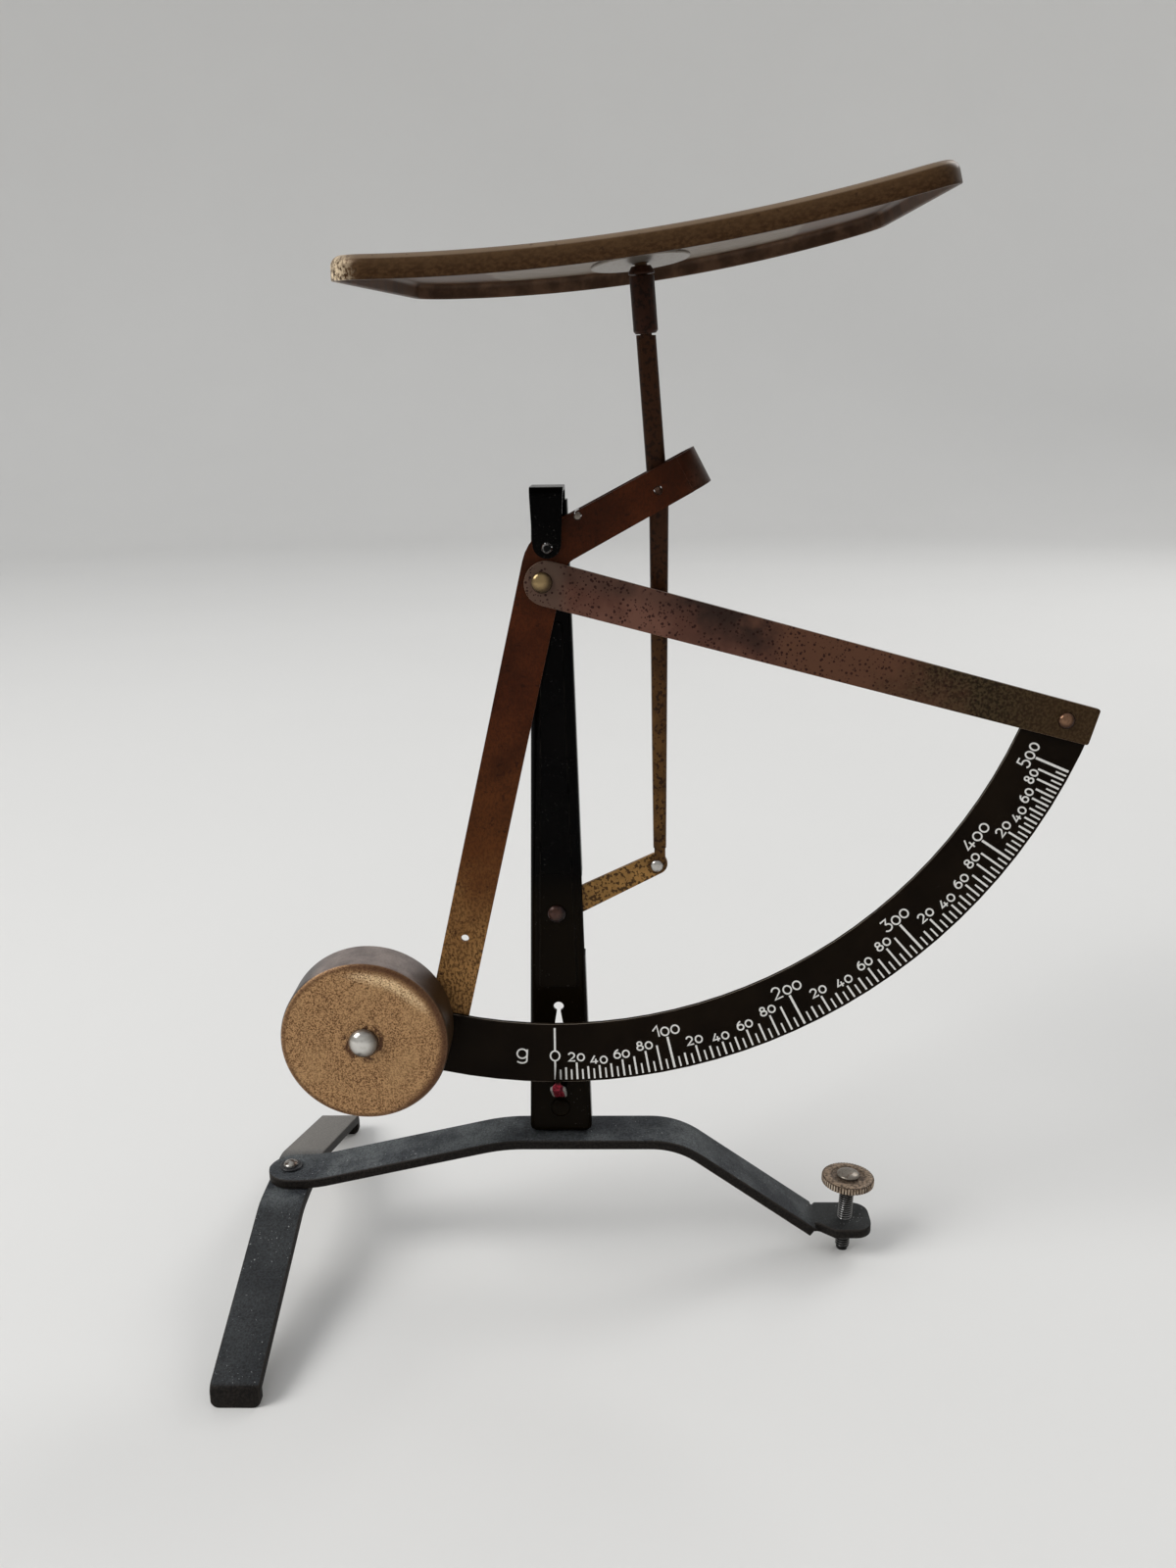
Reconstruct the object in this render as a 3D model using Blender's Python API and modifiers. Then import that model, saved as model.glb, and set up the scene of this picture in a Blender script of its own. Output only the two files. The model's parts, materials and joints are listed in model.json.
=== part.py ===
"""Letter scale: a parallelogram balance with a counterweight and a curved dial.

Metres, +Z up, the dial and its pointer face -Y. While the pieces are made, X = 0 is the middle
of the post, Y = 0 the front of its web and Z = 0 the table. At the end the whole scale is moved
so that the origin lies on the table under the middle of its box.
"""

import math

import bmesh
import bpy
import numpy as np
from mathutils import Euler, Matrix, Vector

# Fits
SEAT_GAP = 0.0003  # between pieces that lie on each other
RUN_GAP = 0.0002  # round a pin or a rivet in its hole
FUSE_STEP = 0.00005  # how much thinner a strip is where it runs inside the sheet it belongs to
CUT_OVERRUN = 0.002  # how far a cutter runs past what it cuts
WELD = 0.000001  # points nearer than this are one point
STATION_GAP = 0.00004  # the least step between two places along a strip

# Fineness of round shapes
ARC_STEP = math.radians(12)
TURNED_SIDES = 20
WIDE_TURNED_SIDES = 40
DOME_STEPS = 4

# Base bar
BAR_WIDTH = 0.014
BAR_THICKNESS = 0.0027
BAR_MIDDLE_Y = 0.003
BAR_TOP = 0.03715
BAR_LEFT_TOP = 0.0252
BAR_LEFT_BEND_X = -0.068
BAR_CROWN_LEFT_X = -0.0155
BAR_CROWN_RIGHT_X = 0.0315
BAR_RIGHT_SLOPE = math.radians(35.8)
BAR_CROWN_LEFT_RADIUS = 0.05
BAR_CROWN_RIGHT_RADIUS = 0.022
BAR_END_BEND_RADIUS = 0.04
BAR_EDGE_ROUND = 0.0003
LUG_TOP = 0.00995
LUG_BEND_RADIUS = 0.0025
LUG_CORNER_RADIUS = 0.0045
LUG_REACH = 0.0068  # from the levelling screw to the end of the lug
LUG_NOTCH_LENGTH = 0.002
LUG_NOTCH_DEPTH = 0.0018

# Cross foot
FOOT_X = -0.0752
FOOT_WIDTH = 0.012
FOOT_THICKNESS = 0.0027
FOOT_HALF_LENGTH = 0.065
FOOT_FLAT_HALF = 0.0125
FOOT_SLOPE = math.radians(17.5)
FOOT_BEND_RADIUS = 0.02
FOOT_TOE_RADIUS = 0.0022
FOOT_TOE_CORNER = 0.0035
BAR_END_OVERHANG = 0.006  # from the foot's rivet to the end of the bar
FOOT_RIVET_SHANK = 0.0018
FOOT_RIVET_COLLAR = 0.00305
FOOT_RIVET_COLLAR_HEIGHT = 0.0004
FOOT_RIVET_DOME = 0.0021
FOOT_RIVET_DOME_HEIGHT = 0.0013
FOOT_RIVET_TAIL = 0.003
FOOT_RIVET_TAIL_HEIGHT = 0.0009

# Levelling screw
LEVEL_X = 0.0781
LEVEL_LEAN = math.radians(2.5)
LEVEL_STUD_RADIUS = 0.002
LEVEL_STUD_CHAMFER = 0.0005
LEVEL_HEAD_BOTTOM = 0.0203
LEVEL_HEAD_RADIUS = 0.00715
LEVEL_HEAD_THICKNESS = 0.0023
LEVEL_HEAD_CHAMFER = 0.0004
LEVEL_HEAD_RING = 0.0045
LEVEL_HEAD_RING_DEPTH = 0.0003
LEVEL_DOME_RADIUS = 0.0028
LEVEL_DOME_HEIGHT = 0.0012
LEVEL_NECK_RADIUS = 0.0015

# Post, a channel of sheet metal that opens to the rear
POST_SHEET = 0.0012
POST_TOP = 0.2097
POST_CHANNEL_TOP = 0.206
POST_FOOT_HALF_WIDTH = 0.0084
POST_TOP_HALF_WIDTH = 0.00435
POST_BEND_RADIUS = 0.0016
POST_FLANGE_FOOT_DEPTH = 0.0075
POST_FLANGE_TOP_DEPTH = 0.0055
TONGUE_HALF_WIDTH = 0.0039
TONGUE_END_HALF_WIDTH = 0.0032
TONGUE_END_BELOW_PIVOT = 0.0024
TONGUE_BEND_RADIUS = 0.0017
TONGUE_ROOT = 0.0025
PANEL_RAISE = 0.0005
PANEL_TOP = 0.177
PANEL_BOTTOM = 0.080
PANEL_MARGIN = 0.0012  # flat of the web left beside the panel
PANEL_DRAFT = 0.0004
PANEL_CORNER = 0.001
SIGHT_HOLE_RADIUS = 0.00135
SIGHT_HOLE_HEIGHT = 0.0745
SLOT_TOP = 0.0731
SLOT_TOP_HALF_WIDTH = 0.0005
SLOT_SHOULDER = 0.0646
SLOT_HALF_WIDTH = 0.00195
SLOT_FOOT_SHOULDER = 0.053
SLOT_FOOT = 0.0487
SLOT_FOOT_HALF_WIDTH = 0.0015
WINDOW_CORNER = 0.001
POST_FOOT_RING_SHARES = (0, 0.13, 0.5, 1)

# Pointer, lanced out of the slot
POINTER_SHEET = 0.0009
POINTER_BEND_BELOW_DIAL = 0.0015
POINTER_TIP_ABOVE_EDGE = 0.0054  # how far the needle reaches over the dial
POINTER_ROOT_HALF_WIDTH = 0.0015
POINTER_HALF_WIDTH = 0.00195
POINTER_NEEDLE_HALF_WIDTH = 0.0007
POINTER_TIP_HALF_WIDTH = 0.00025
POINTER_SHOULDER = 0.0012
POINTER_BEND_RADIUS = 0.0008
POINTER_CLEARANCE = 0.0006

# Bracket that joins the post to the bar
BRACKET_SHEET = 0.0012
BRACKET_HALF_WIDTH = 0.0052
BRACKET_HEIGHT = 0.0145
BRACKET_BEND_RADIUS = 0.0008
BRACKET_RIVET_HEIGHT = 0.0451
BRACKET_RIVET_HEAD = 0.0026
BRACKET_RIVET_HEAD_HEIGHT = 0.0011
BRACKET_RIVET_SHANK = 0.0014
BRACKET_FOOT_RIVET_X = 0.003
BRACKET_FOOT_RIVET_HEAD = 0.0018
BRACKET_FOOT_RIVET_HEIGHT = 0.0008
BRACKET_FOOT_RIVET_SHANK = 0.001
BRACKET_FOOT_RIVET_INSET = 0.0011

# Lever: a front plate, a fork end bent round the rod, and a rear plate
FULCRUM_HEIGHT = 0.1958
FULCRUM_PIN_RADIUS = 0.0011
FULCRUM_PIN_HEAD_HEIGHT = 0.0005
LEVER_SHEET = 0.0011
LEVER_REAR_GAP = 0.0007
FORK_GAP = 0.0076
FORK_ANGLE = math.radians(28)
FORK_REACH = 0.0408
FORK_ARM_OFFSET = 0.0007
FORK_END_HALF_WIDTH = 0.00445
FORK_ROOT_HALF_WIDTH = 0.0048
FORK_EAR_RADIUS = 0.0048
LONG_ARM_ANGLE = math.radians(13.15)
LONG_ARM_HALF_WIDTH = 0.0051
LONG_ARM_END_ROUND = 0.0045
ELBOW_RADIUS = 0.012
CROTCH_RADIUS = 0.0045
LEVER_TUNING_HOLE_RADIUS = 0.001
LEVER_TUNING_HOLE_REACH = 0.1004

# Parallelogram
ROD_ARM = 0.02887  # from the fulcrum to the fork pin, and the same on the lower link
ROD_ARM_ANGLE = math.radians(26.1)
LINK_PIVOT_HEIGHT = 0.1009
FORK_PIN_RADIUS = 0.00085
FORK_PIN_PROUD = 0.0003
SPACER_RADIUS = 0.0008
SPACER_REACH = 0.0096
SPACER_BELOW_EDGE = 0.0004

# Scale arm
ARM_SHEET = 0.0012
ARM_INNER_RIVET_X = -0.0014
ARM_INNER_RIVET_BELOW = 0.0081
ARM_ANGLE = math.radians(-15.2)
ARM_INNER_RADIUS = 0.0053
ARM_INNER_END_SHIFT = 0.0011  # from the inner rivet to the middle of the round end
ARM_END_HALF_WIDTH = 0.00453
ARM_END_CORNER = 0.0006
ARM_OUTER_RIVET_INSET = 0.0071  # from the arm's end
ARM_OUTER_RIVET_OUTWARD = 0.00078  # from the dial's middle line
ARM_INNER_RIVET_HEAD = 0.0025
ARM_OUTER_RIVET_HEAD = 0.002
ARM_RIVET_HEAD_HEIGHT = 0.0011
ARM_RIVET_SHANK = 0.0011
ARM_RIVET_TAIL_HEIGHT = 0.0006

# Dial quadrant
DIAL_SHEET = 0.001
DIAL_OUTER_RADIUS = 0.1371
DIAL_BAND_WIDTH = 0.0162
DIAL_LEFT_ANGLE = math.radians(-21.55)
DIAL_RIGHT_ANGLE = math.radians(71.3)
DIAL_RIVET_SHANK = 0.0011
DIAL_RIVET_HEAD = 0.002
DIAL_RIVET_HEAD_HEIGHT = 0.0007
TONGUE_CLEARANCE = 0.0005  # between the scale arm and the tongue in front of it

# Counterweight
WEIGHT_RADIUS = 0.021
WEIGHT_THICKNESS = 0.0118
WEIGHT_SHELL = 0.0008
WEIGHT_EDGE_ROUND = 0.0014
WEIGHT_CORE_THICKNESS = 0.0104
WEIGHT_RIVET_SHANK = 0.0017
WEIGHT_RIVET_HEAD = 0.0038
WEIGHT_RIVET_HEAD_HEIGHT = 0.0024
WEIGHT_RIVET_TAIL = 0.003
WEIGHT_RIVET_TAIL_HEIGHT = 0.0008

# Lower link
LINK_SHEET = 0.0012
LINK_PIVOT_RADIUS = 0.0034
LINK_END_RADIUS = 0.0028
LINK_RIVET_SHANK = 0.0011
LINK_POST_RIVET_HEAD = 0.0024
LINK_POST_RIVET_HEIGHT = 0.0013
LINK_ROD_RIVET_HEAD = 0.00155
LINK_ROD_RIVET_HEIGHT = 0.0007
LINK_ROD_RIVET_SHANK = 0.0009

# Rod that carries the tray, a tapered channel that opens to the rear
ROD_SHEET = 0.0009
ROD_FORK_Y = -0.0062
ROD_BEND_RADIUS = 0.0012
ROD_TOP_HALF_WIDTH = 0.00225
ROD_FORK_HALF_WIDTH = 0.0023
ROD_FOOT_HALF_WIDTH = 0.00165
ROD_BEND_BELOW_FORK = 0.004
ROD_FOOT_SHIFT = 0.0008  # how far the channel's lower end stands to the right of the rivet
ROD_DEPTH = 0.003
ROD_FOOT_DEPTH = 0.00105
ROD_CHANNEL_START = 0.0046
ROD_FULL_DEPTH_START = 0.032
ROD_LUG_RADIUS = 0.0023
ROD_LUG_NECK_HALF_WIDTH = 0.0014
ROD_LUG_ROOT = 0.003
PEG_HALF_WIDTH = 0.0013
PEG_LENGTH = 0.0085
PEG_ROOT = 0.005

# Stem and tray, measured along the stem from the fork pin
STEM_LEAN_LEFT = math.radians(4.5)
STEM_LEAN_FRONT = math.radians(2.2)
SLEEVE_START = 0.0348
SLEEVE_END = 0.0472
SLEEVE_RADIUS = 0.0028
SLEEVE_BORE = 0.00175
SLEEVE_LIP = 0.0005
COLLAR_RADIUS = 0.00295
COLLAR_TOP_RADIUS = 0.0022
COLLAR_HEIGHT = 0.00175
COLLAR_BAND = 0.0005
BOSS_RADIUS = 0.0112
BOSS_THICKNESS = 0.0008
BOSS_EDGE = 0.00025
BOSS_LEAN = math.radians(4.5)  # its near side lies higher than the tray's tilt would put it
TRAY_LENGTH = 0.1205
TRAY_DEPTH = 0.108
TRAY_CORNER = 0.0078
TRAY_SHEET = 0.001
TRAY_FLANGE = 0.0042
TRAY_BEND_RADIUS = 0.0016
TRAY_CURVE_RADIUS = 0.43
TRAY_SET_ANGLE = math.radians(2.66)
TRAY_TURN = math.radians(-2)
TRAY_SHIFT = 0.0009  # the rivet sits this far to the left of the tray's middle
TRAY_RIVET_SHANK = 0.0014
TRAY_RIVET_HEAD = 0.0032
TRAY_RIVET_HEAD_HEIGHT = 0.0009
TRAY_RIVET_LENGTH = 0.0068
TRAY_RING_SHARES = (0.8, 0.6, 0.4, 0.2)
TRAY_LONG_STEPS = 12
TRAY_SHORT_STEPS = 4
TRAY_BEND_STEPS = 4

# Swing of the lever, from the empty scale's pointer at zero
LEVER_UP_SWING = math.radians(5)
LEVER_DOWN_SWING = math.radians(67.5)

# Layers, from the post's front at Y = 0 towards the reader
LEVER_REAR_BACK = -LEVER_REAR_GAP
LEVER_REAR_FRONT = LEVER_REAR_BACK - LEVER_SHEET
LEVER_FRONT_BACK = LEVER_REAR_FRONT - FORK_GAP
LEVER_FRONT = LEVER_FRONT_BACK - LEVER_SHEET
DIAL_BACK = LEVER_FRONT - SEAT_GAP
DIAL_FRONT = DIAL_BACK - DIAL_SHEET
ARM_INNER_BACK = LEVER_FRONT - SEAT_GAP
ARM_INNER_FRONT = ARM_INNER_BACK - ARM_SHEET
ARM_OUTER_BACK = DIAL_FRONT - SEAT_GAP
WEIGHT_BACK = DIAL_FRONT - SEAT_GAP
TONGUE_BACK = ARM_INNER_FRONT - TONGUE_CLEARANCE
TONGUE_FRONT = TONGUE_BACK - POST_SHEET
LINK_FRONT = POST_SHEET + SEAT_GAP
LINK_BACK = LINK_FRONT + LINK_SHEET
ROD_LUG_BACK = LINK_FRONT - SEAT_GAP
ROD_LUG_FRONT = ROD_LUG_BACK - ROD_SHEET
POST_FOOT = BAR_TOP + SEAT_GAP
FOOT_TOP = BAR_LEFT_TOP - BAR_THICKNESS - SEAT_GAP

# Dial, round the fulcrum
DIAL_INNER_RADIUS = DIAL_OUTER_RADIUS - DIAL_BAND_WIDTH
DIAL_MIDDLE_RADIUS = DIAL_OUTER_RADIUS - DIAL_BAND_WIDTH / 2
DIAL_EDGE_HEIGHT = FULCRUM_HEIGHT - DIAL_OUTER_RADIUS

# Pivots
FULCRUM = Vector((0, 0, FULCRUM_HEIGHT))
LINK_PIVOT = Vector((0, 0, LINK_PIVOT_HEIGHT))
ROD_OFFSET = Vector((ROD_ARM * math.cos(ROD_ARM_ANGLE), 0, ROD_ARM * math.sin(ROD_ARM_ANGLE)))
FORK_PIN = FULCRUM + ROD_OFFSET
ROD_FOOT = LINK_PIVOT + ROD_OFFSET
STEM_START = Vector((FORK_PIN.x, ROD_FORK_Y + ROD_SHEET / 2, FORK_PIN.z))
FOOT_PIVOT = Vector((FOOT_X, BAR_MIDDLE_Y, BAR_LEFT_TOP))
LEVEL_TIP_RADIUS = LEVEL_STUD_RADIUS - LEVEL_STUD_CHAMFER
LEVEL_FOOT = Vector(
    (LEVEL_X - LUG_TOP * math.tan(LEVEL_LEAN), BAR_MIDDLE_Y, LEVEL_TIP_RADIUS * math.sin(LEVEL_LEAN))
)

# Colour, roughness and metallic value of each finish
FINISHES = {
    "black_lacquer": ((0.012, 0.012, 0.014), 0.25, 0.0),
    "dial_black": ((0.018, 0.018, 0.018), 0.4, 0.0),
    "base_paint": ((0.05, 0.058, 0.07), 0.55, 0.0),
    "brown_lacquer": ((0.12, 0.05, 0.028), 0.35, 0.6),
    "speckled_brass": ((0.3, 0.19, 0.08), 0.4, 0.8),
    "tray_bronze": ((0.25, 0.15, 0.06), 0.35, 0.8),
    "bright_steel": ((0.6, 0.6, 0.58), 0.3, 1.0),
    "brass": ((0.55, 0.4, 0.18), 0.3, 1.0),
    "dark_steel": ((0.2, 0.2, 0.2), 0.4, 1.0),
    "lead_grey": ((0.3, 0.3, 0.31), 0.6, 0.8),
}


# Scene, materials and placing


def clear_scene():
    for obj in list(bpy.data.objects):
        bpy.data.objects.remove(obj)


def new_collection(name, hidden=False):
    collection = bpy.data.collections.new(name)
    bpy.context.scene.collection.children.link(collection)
    collection.hide_render = hidden
    return collection


def finish_material(name, finish):
    colour, roughness, metallic = FINISHES[finish]
    material = bpy.data.materials.new(name)
    material.use_nodes = True
    shader = material.node_tree.nodes["Principled BSDF"]
    shader.inputs["Base Color"].default_value = (*colour, 1)
    shader.inputs["Roughness"].default_value = roughness
    shader.inputs["Metallic"].default_value = metallic
    return material


def hang(obj, parent):
    """Parent an object and leave it where it stands."""
    bpy.context.view_layer.update()
    obj.parent = parent
    obj.matrix_parent_inverse = parent.matrix_world.inverted()


def add_piece(obj, finish, parent):
    """A finished piece of the scale: its collection, its material and what it moves with."""
    PIECES.objects.link(obj)
    obj.data.materials.clear()
    obj.data.materials.append(finish_material(obj.name, finish))
    obj.data.shade_smooth()
    obj.data.set_sharp_from_angle(angle=math.radians(30))
    hang(obj, parent)
    return obj


def add_cutter(obj):
    """A helper that cuts or is joined: never part of the scale by itself."""
    CUTTERS.objects.link(obj)
    obj.hide_render = True
    obj.display_type = "WIRE"
    hang(obj, ROOT)
    return obj


def pivot_empty(name, place, turn=(0, 0, 0), parent=None):
    empty = bpy.data.objects.new(name, None)
    empty.location = place
    empty.rotation_euler = turn
    PIECES.objects.link(empty)
    if parent:
        hang(empty, parent)
    return empty


def combine(obj, other, operation):
    modifier = obj.modifiers.new(other.name, "BOOLEAN")
    modifier.operation = operation
    modifier.object = other
    modifier.solver = "EXACT"


# Outlines


def rounded_line(corners, closed=True):
    """Straight runs whose corners (x, y, radius) are rounded with arcs."""
    points = []
    for i, (x, y, radius) in enumerate(corners):
        here = Vector((x, y))
        if not radius or (not closed and i in (0, len(corners) - 1)):
            points.append(here)
            continue
        back = (Vector(corners[i - 1][:2]) - here).normalized()
        ahead = (Vector(corners[(i + 1) % len(corners)][:2]) - here).normalized()
        half = back.angle(ahead) / 2
        centre = here + (back + ahead).normalized() * (radius / math.sin(half))
        spoke = here + back * (radius / math.tan(half)) - centre
        sweep = math.copysign(math.pi - 2 * half, back.y * ahead.x - back.x * ahead.y)
        steps = max(2, math.ceil(abs(sweep) / ARC_STEP))
        for k in range(steps + 1):
            turn = sweep * k / steps
            points.append(centre + turned_by(spoke, turn))
    return points


def turned_by(vector, angle):
    c, s = math.cos(angle), math.sin(angle)
    return Vector((c * vector.x - s * vector.y, s * vector.x + c * vector.y))


def arc(centre, radius, start, end, step=ARC_STEP):
    steps = max(2, math.ceil(abs(end - start) / step))
    angles = [start + (end - start) * k / steps for k in range(steps + 1)]
    return [Vector((centre[0] + radius * math.cos(a), centre[1] + radius * math.sin(a))) for a in angles]


def circle(centre, radius, sides=TURNED_SIDES):
    turn = 2 * math.pi
    return arc(centre, radius, 0, turn * (sides - 1) / sides, turn / sides)


def crossing(first, first_way, second, second_way):
    """Where two lines of the plane meet, each given by a point and a direction."""
    gap = second - first
    share = gap.cross(second_way) / first_way.cross(second_way)
    return first + first_way * share


def resampled(points, extra):
    """The line's own points and those at the extra distances along it, with every distance."""
    line = np.array([tuple(p) for p in points])
    steps = np.linalg.norm(np.diff(line, axis=0), axis=1)
    along = np.concatenate([[0], np.cumsum(steps)])
    kept = [s for s in extra if np.abs(along - s).min() > STATION_GAP]
    wanted = np.unique(np.concatenate([along, np.clip(kept, 0, along[-1])]))
    columns = [np.interp(wanted, along, line[:, i]) for i in range(line.shape[1])]
    return [Vector(p) for p in zip(*columns)], wanted


def round_end(distance, radius, half_width):
    """Half the width this far from a rounded end."""
    if distance >= radius:
        return half_width
    return half_width - radius + math.sqrt(max(0, radius**2 - (radius - distance) ** 2))


def end_distances(radius):
    """Distances from an end at which its rounding needs a point."""
    turns = [math.radians(a) for a in (24, 42, 60, 76, 90)]
    return [radius * (1 - math.cos(a)) for a in turns]


# Solids


def mesh_object(name, bm):
    mesh = bpy.data.meshes.new(name)
    bm.to_mesh(mesh)
    bm.free()
    return bpy.data.objects.new(name, mesh)


def as_mesh(obj):
    """The mesh object that takes a curve's place."""
    CUTTERS.objects.link(obj)
    bpy.context.view_layer.update()
    graph = bpy.context.evaluated_depsgraph_get()
    mesh = bpy.data.meshes.new_from_object(obj.evaluated_get(graph))
    bm = bmesh.new()
    bm.from_mesh(mesh)
    bmesh.ops.remove_doubles(bm, verts=bm.verts, dist=WELD)
    bmesh.ops.recalc_face_normals(bm, faces=bm.faces)
    bm.to_mesh(mesh)
    bm.free()
    made = bpy.data.objects.new(obj.name, mesh)
    made.matrix_world = obj.matrix_world
    name = obj.name
    bpy.data.objects.remove(obj)
    made.name = name
    return made


def plate(name, loops, place, thickness):
    """Sheet cut to an outline with holes, standing upright. Its back is at the place's Y."""
    curve = bpy.data.curves.new(name, "CURVE")
    curve.dimensions = "2D"
    curve.fill_mode = "BOTH"
    curve.extrude = thickness / 2
    for loop in loops:
        spline = curve.splines.new("POLY")
        spline.points.add(len(loop) - 1)
        for point, (x, y) in zip(spline.points, loop):
            point.co = (x, y, 0, 1)
        spline.use_cyclic_u = True
    obj = bpy.data.objects.new(name, curve)
    obj.rotation_euler = (math.pi / 2, 0, 0)
    obj.location = Vector(place) - Vector((0, thickness / 2, 0))
    return as_mesh(obj)


def ribbon(name, points, half_widths, across, thickness, edge_round=0):
    """A strip of sheet along a path: across is the direction of its width."""
    bm = bmesh.new()
    rows = []
    for point, half in zip(points, half_widths):
        rows.append([bm.verts.new(point - across * half), bm.verts.new(point + across * half)])
    for (a, b), (c, d) in zip(rows, rows[1:]):
        bm.faces.new((a, b, d, c))
    obj = mesh_object(name, bm)
    solid = obj.modifiers.new("sheet", "SOLIDIFY")
    solid.thickness = thickness
    solid.offset = 0
    solid.use_even_offset = True
    if edge_round:
        bevel = obj.modifiers.new("edges", "BEVEL")
        bevel.width = edge_round
        bevel.segments = 1
        bevel.limit_method = "ANGLE"
        bevel.angle_limit = math.radians(50)
    return obj


def loft(name, rings):
    """A solid through a row of closed sections with as many points each."""
    bm = bmesh.new()
    rows = [[bm.verts.new(point) for point in ring] for ring in rings]
    count = len(rows[0])
    for low, high in zip(rows, rows[1:]):
        for i in range(count):
            j = (i + 1) % count
            bm.faces.new((low[i], low[j], high[j], high[i]))
    bm.faces.new(rows[0])
    bm.faces.new(rows[-1])
    bmesh.ops.recalc_face_normals(bm, faces=bm.faces)
    return mesh_object(name, bm)


def turned(name, profile, place, tilt=(0, 0, 0), sides=TURNED_SIDES, closed=False):
    """A turned solid: profile (radius, height) runs down its outer side from the top."""
    bm = bmesh.new()
    verts = [bm.verts.new((radius, 0, height)) for radius, height in profile]
    for a, b in zip(verts, verts[1:]):
        bm.edges.new((a, b))
    if closed:
        bm.edges.new((verts[-1], verts[0]))
    obj = mesh_object(name, bm)
    screw = obj.modifiers.new("turn", "SCREW")
    screw.steps = sides
    screw.render_steps = sides
    screw.use_merge_vertices = True
    screw.merge_threshold = WELD
    screw.use_smooth_shade = False
    obj.location = place
    obj.rotation_euler = tilt
    return obj


def dome(radius, height, base, steps=DOME_STEPS):
    """Profile of a dome from its top down to its rim."""
    turns = [math.pi / 2 * k / steps for k in range(steps + 1)]
    return [(radius * math.sin(a), base + height * math.cos(a)) for a in turns]


def front_turned(name, profile, x, z, sides=TURNED_SIDES, closed=False):
    """A turned solid whose axis points at the reader: its heights are distances from Y = 0."""
    return turned(name, profile, (x, 0, z), (math.pi / 2, 0, 0), sides, closed)


def rivet_profile(shank, head, head_height, front, tail, tail_height, back):
    """A domed head on the front face and a low tail on the back face, as distances from Y = 0."""
    front += SEAT_GAP
    back -= SEAT_GAP
    low = [(tail * math.cos(a), back - tail_height * math.sin(a)) for a in (0, math.pi / 4)]
    return [*dome(head, head_height, front), (shank, front), (shank, back), *low, (0, back - tail_height)]


def cylinder(radius, depth):
    bm = bmesh.new()
    bmesh.ops.create_cone(
        bm, cap_ends=True, segments=TURNED_SIDES, radius1=radius, radius2=radius, depth=depth
    )
    return bm


def drill(targets, x, z, radius, front, back):
    """A hole along Y through each target, between two distances from Y = 0."""
    cutter = mesh_object(f"{targets[0].name}_hole", cylinder(radius, front - back))
    cutter.rotation_euler = (math.pi / 2, 0, 0)
    cutter.location = (x, -(front + back) / 2, z)
    add_cutter(cutter)
    for target in targets:
        combine(target, cutter, "DIFFERENCE")


def box_cutter(name, low, high, turn=(0, 0, 0)):
    bm = bmesh.new()
    bmesh.ops.create_cube(bm, size=1)
    bmesh.ops.scale(bm, vec=Vector(high) - Vector(low), verts=bm.verts)
    cutter = mesh_object(name, bm)
    cutter.location = (Vector(low) + Vector(high)) / 2
    cutter.rotation_euler = turn
    return add_cutter(cutter)


# Stand


def base_bar():
    middle = BAR_THICKNESS / 2
    crown = BAR_TOP - middle
    lug = LUG_TOP - middle
    bend_x = BAR_CROWN_RIGHT_X + (crown - lug) / math.tan(BAR_RIGHT_SLOPE)
    left_end = FOOT_X - BAR_END_OVERHANG
    corners = [
        (left_end, BAR_LEFT_TOP - middle, 0),
        (BAR_LEFT_BEND_X, BAR_LEFT_TOP - middle, BAR_END_BEND_RADIUS),
        (BAR_CROWN_LEFT_X, crown, BAR_CROWN_LEFT_RADIUS),
        (BAR_CROWN_RIGHT_X, crown, BAR_CROWN_RIGHT_RADIUS),
        (bend_x, lug, LUG_BEND_RADIUS),
        (LEVEL_X + LUG_REACH, lug, 0),
    ]
    line = [Vector((p.x, BAR_MIDDLE_Y, p.y)) for p in rounded_line(corners, closed=False)]
    _, along = resampled(line, [])
    half = BAR_WIDTH / 2
    left = end_distances(half)
    right = [along[-1] - d for d in end_distances(LUG_CORNER_RADIUS)]
    points, along = resampled(line, left + right)
    widths = [
        min(round_end(s + FUSE_STEP, half, half), round_end(along[-1] - s, LUG_CORNER_RADIUS, half))
        for s in along
    ]
    bar = ribbon("base_bar", points, widths, Vector((0, 1, 0)), BAR_THICKNESS, BAR_EDGE_ROUND)
    add_piece(bar, "base_paint", ROOT)
    notch_bar(bar, bend_x)
    drill_down(bar, FOOT_PIVOT, FOOT_RIVET_SHANK + RUN_GAP)
    for side in (-1, 1):
        x = side * BRACKET_FOOT_RIVET_X
        drill_down(bar, Vector((x, bracket_foot_rivet_y(), BAR_TOP)), BRACKET_FOOT_RIVET_SHANK + RUN_GAP)
    drill_down(bar, LEVEL_FOOT, LEVEL_STUD_RADIUS + RUN_GAP, LEVEL_LEAN, LUG_TOP)


def notch_bar(bar, bend_x):
    """Relief notches on both sides of the bend into the lug."""
    half = BAR_WIDTH / 2
    for side in (-1, 1):
        edges = sorted((side * (half - LUG_NOTCH_DEPTH), side * (half + CUT_OVERRUN)))
        low = (bend_x, BAR_MIDDLE_Y + edges[0], LUG_TOP - BAR_THICKNESS - CUT_OVERRUN)
        high = (bend_x + LUG_NOTCH_LENGTH, BAR_MIDDLE_Y + edges[1], LUG_TOP + CUT_OVERRUN)
        cutter = box_cutter("bar_notch", low, high, (0, BAR_RIGHT_SLOPE / 2, 0))
        combine(bar, cutter, "DIFFERENCE")


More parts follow.
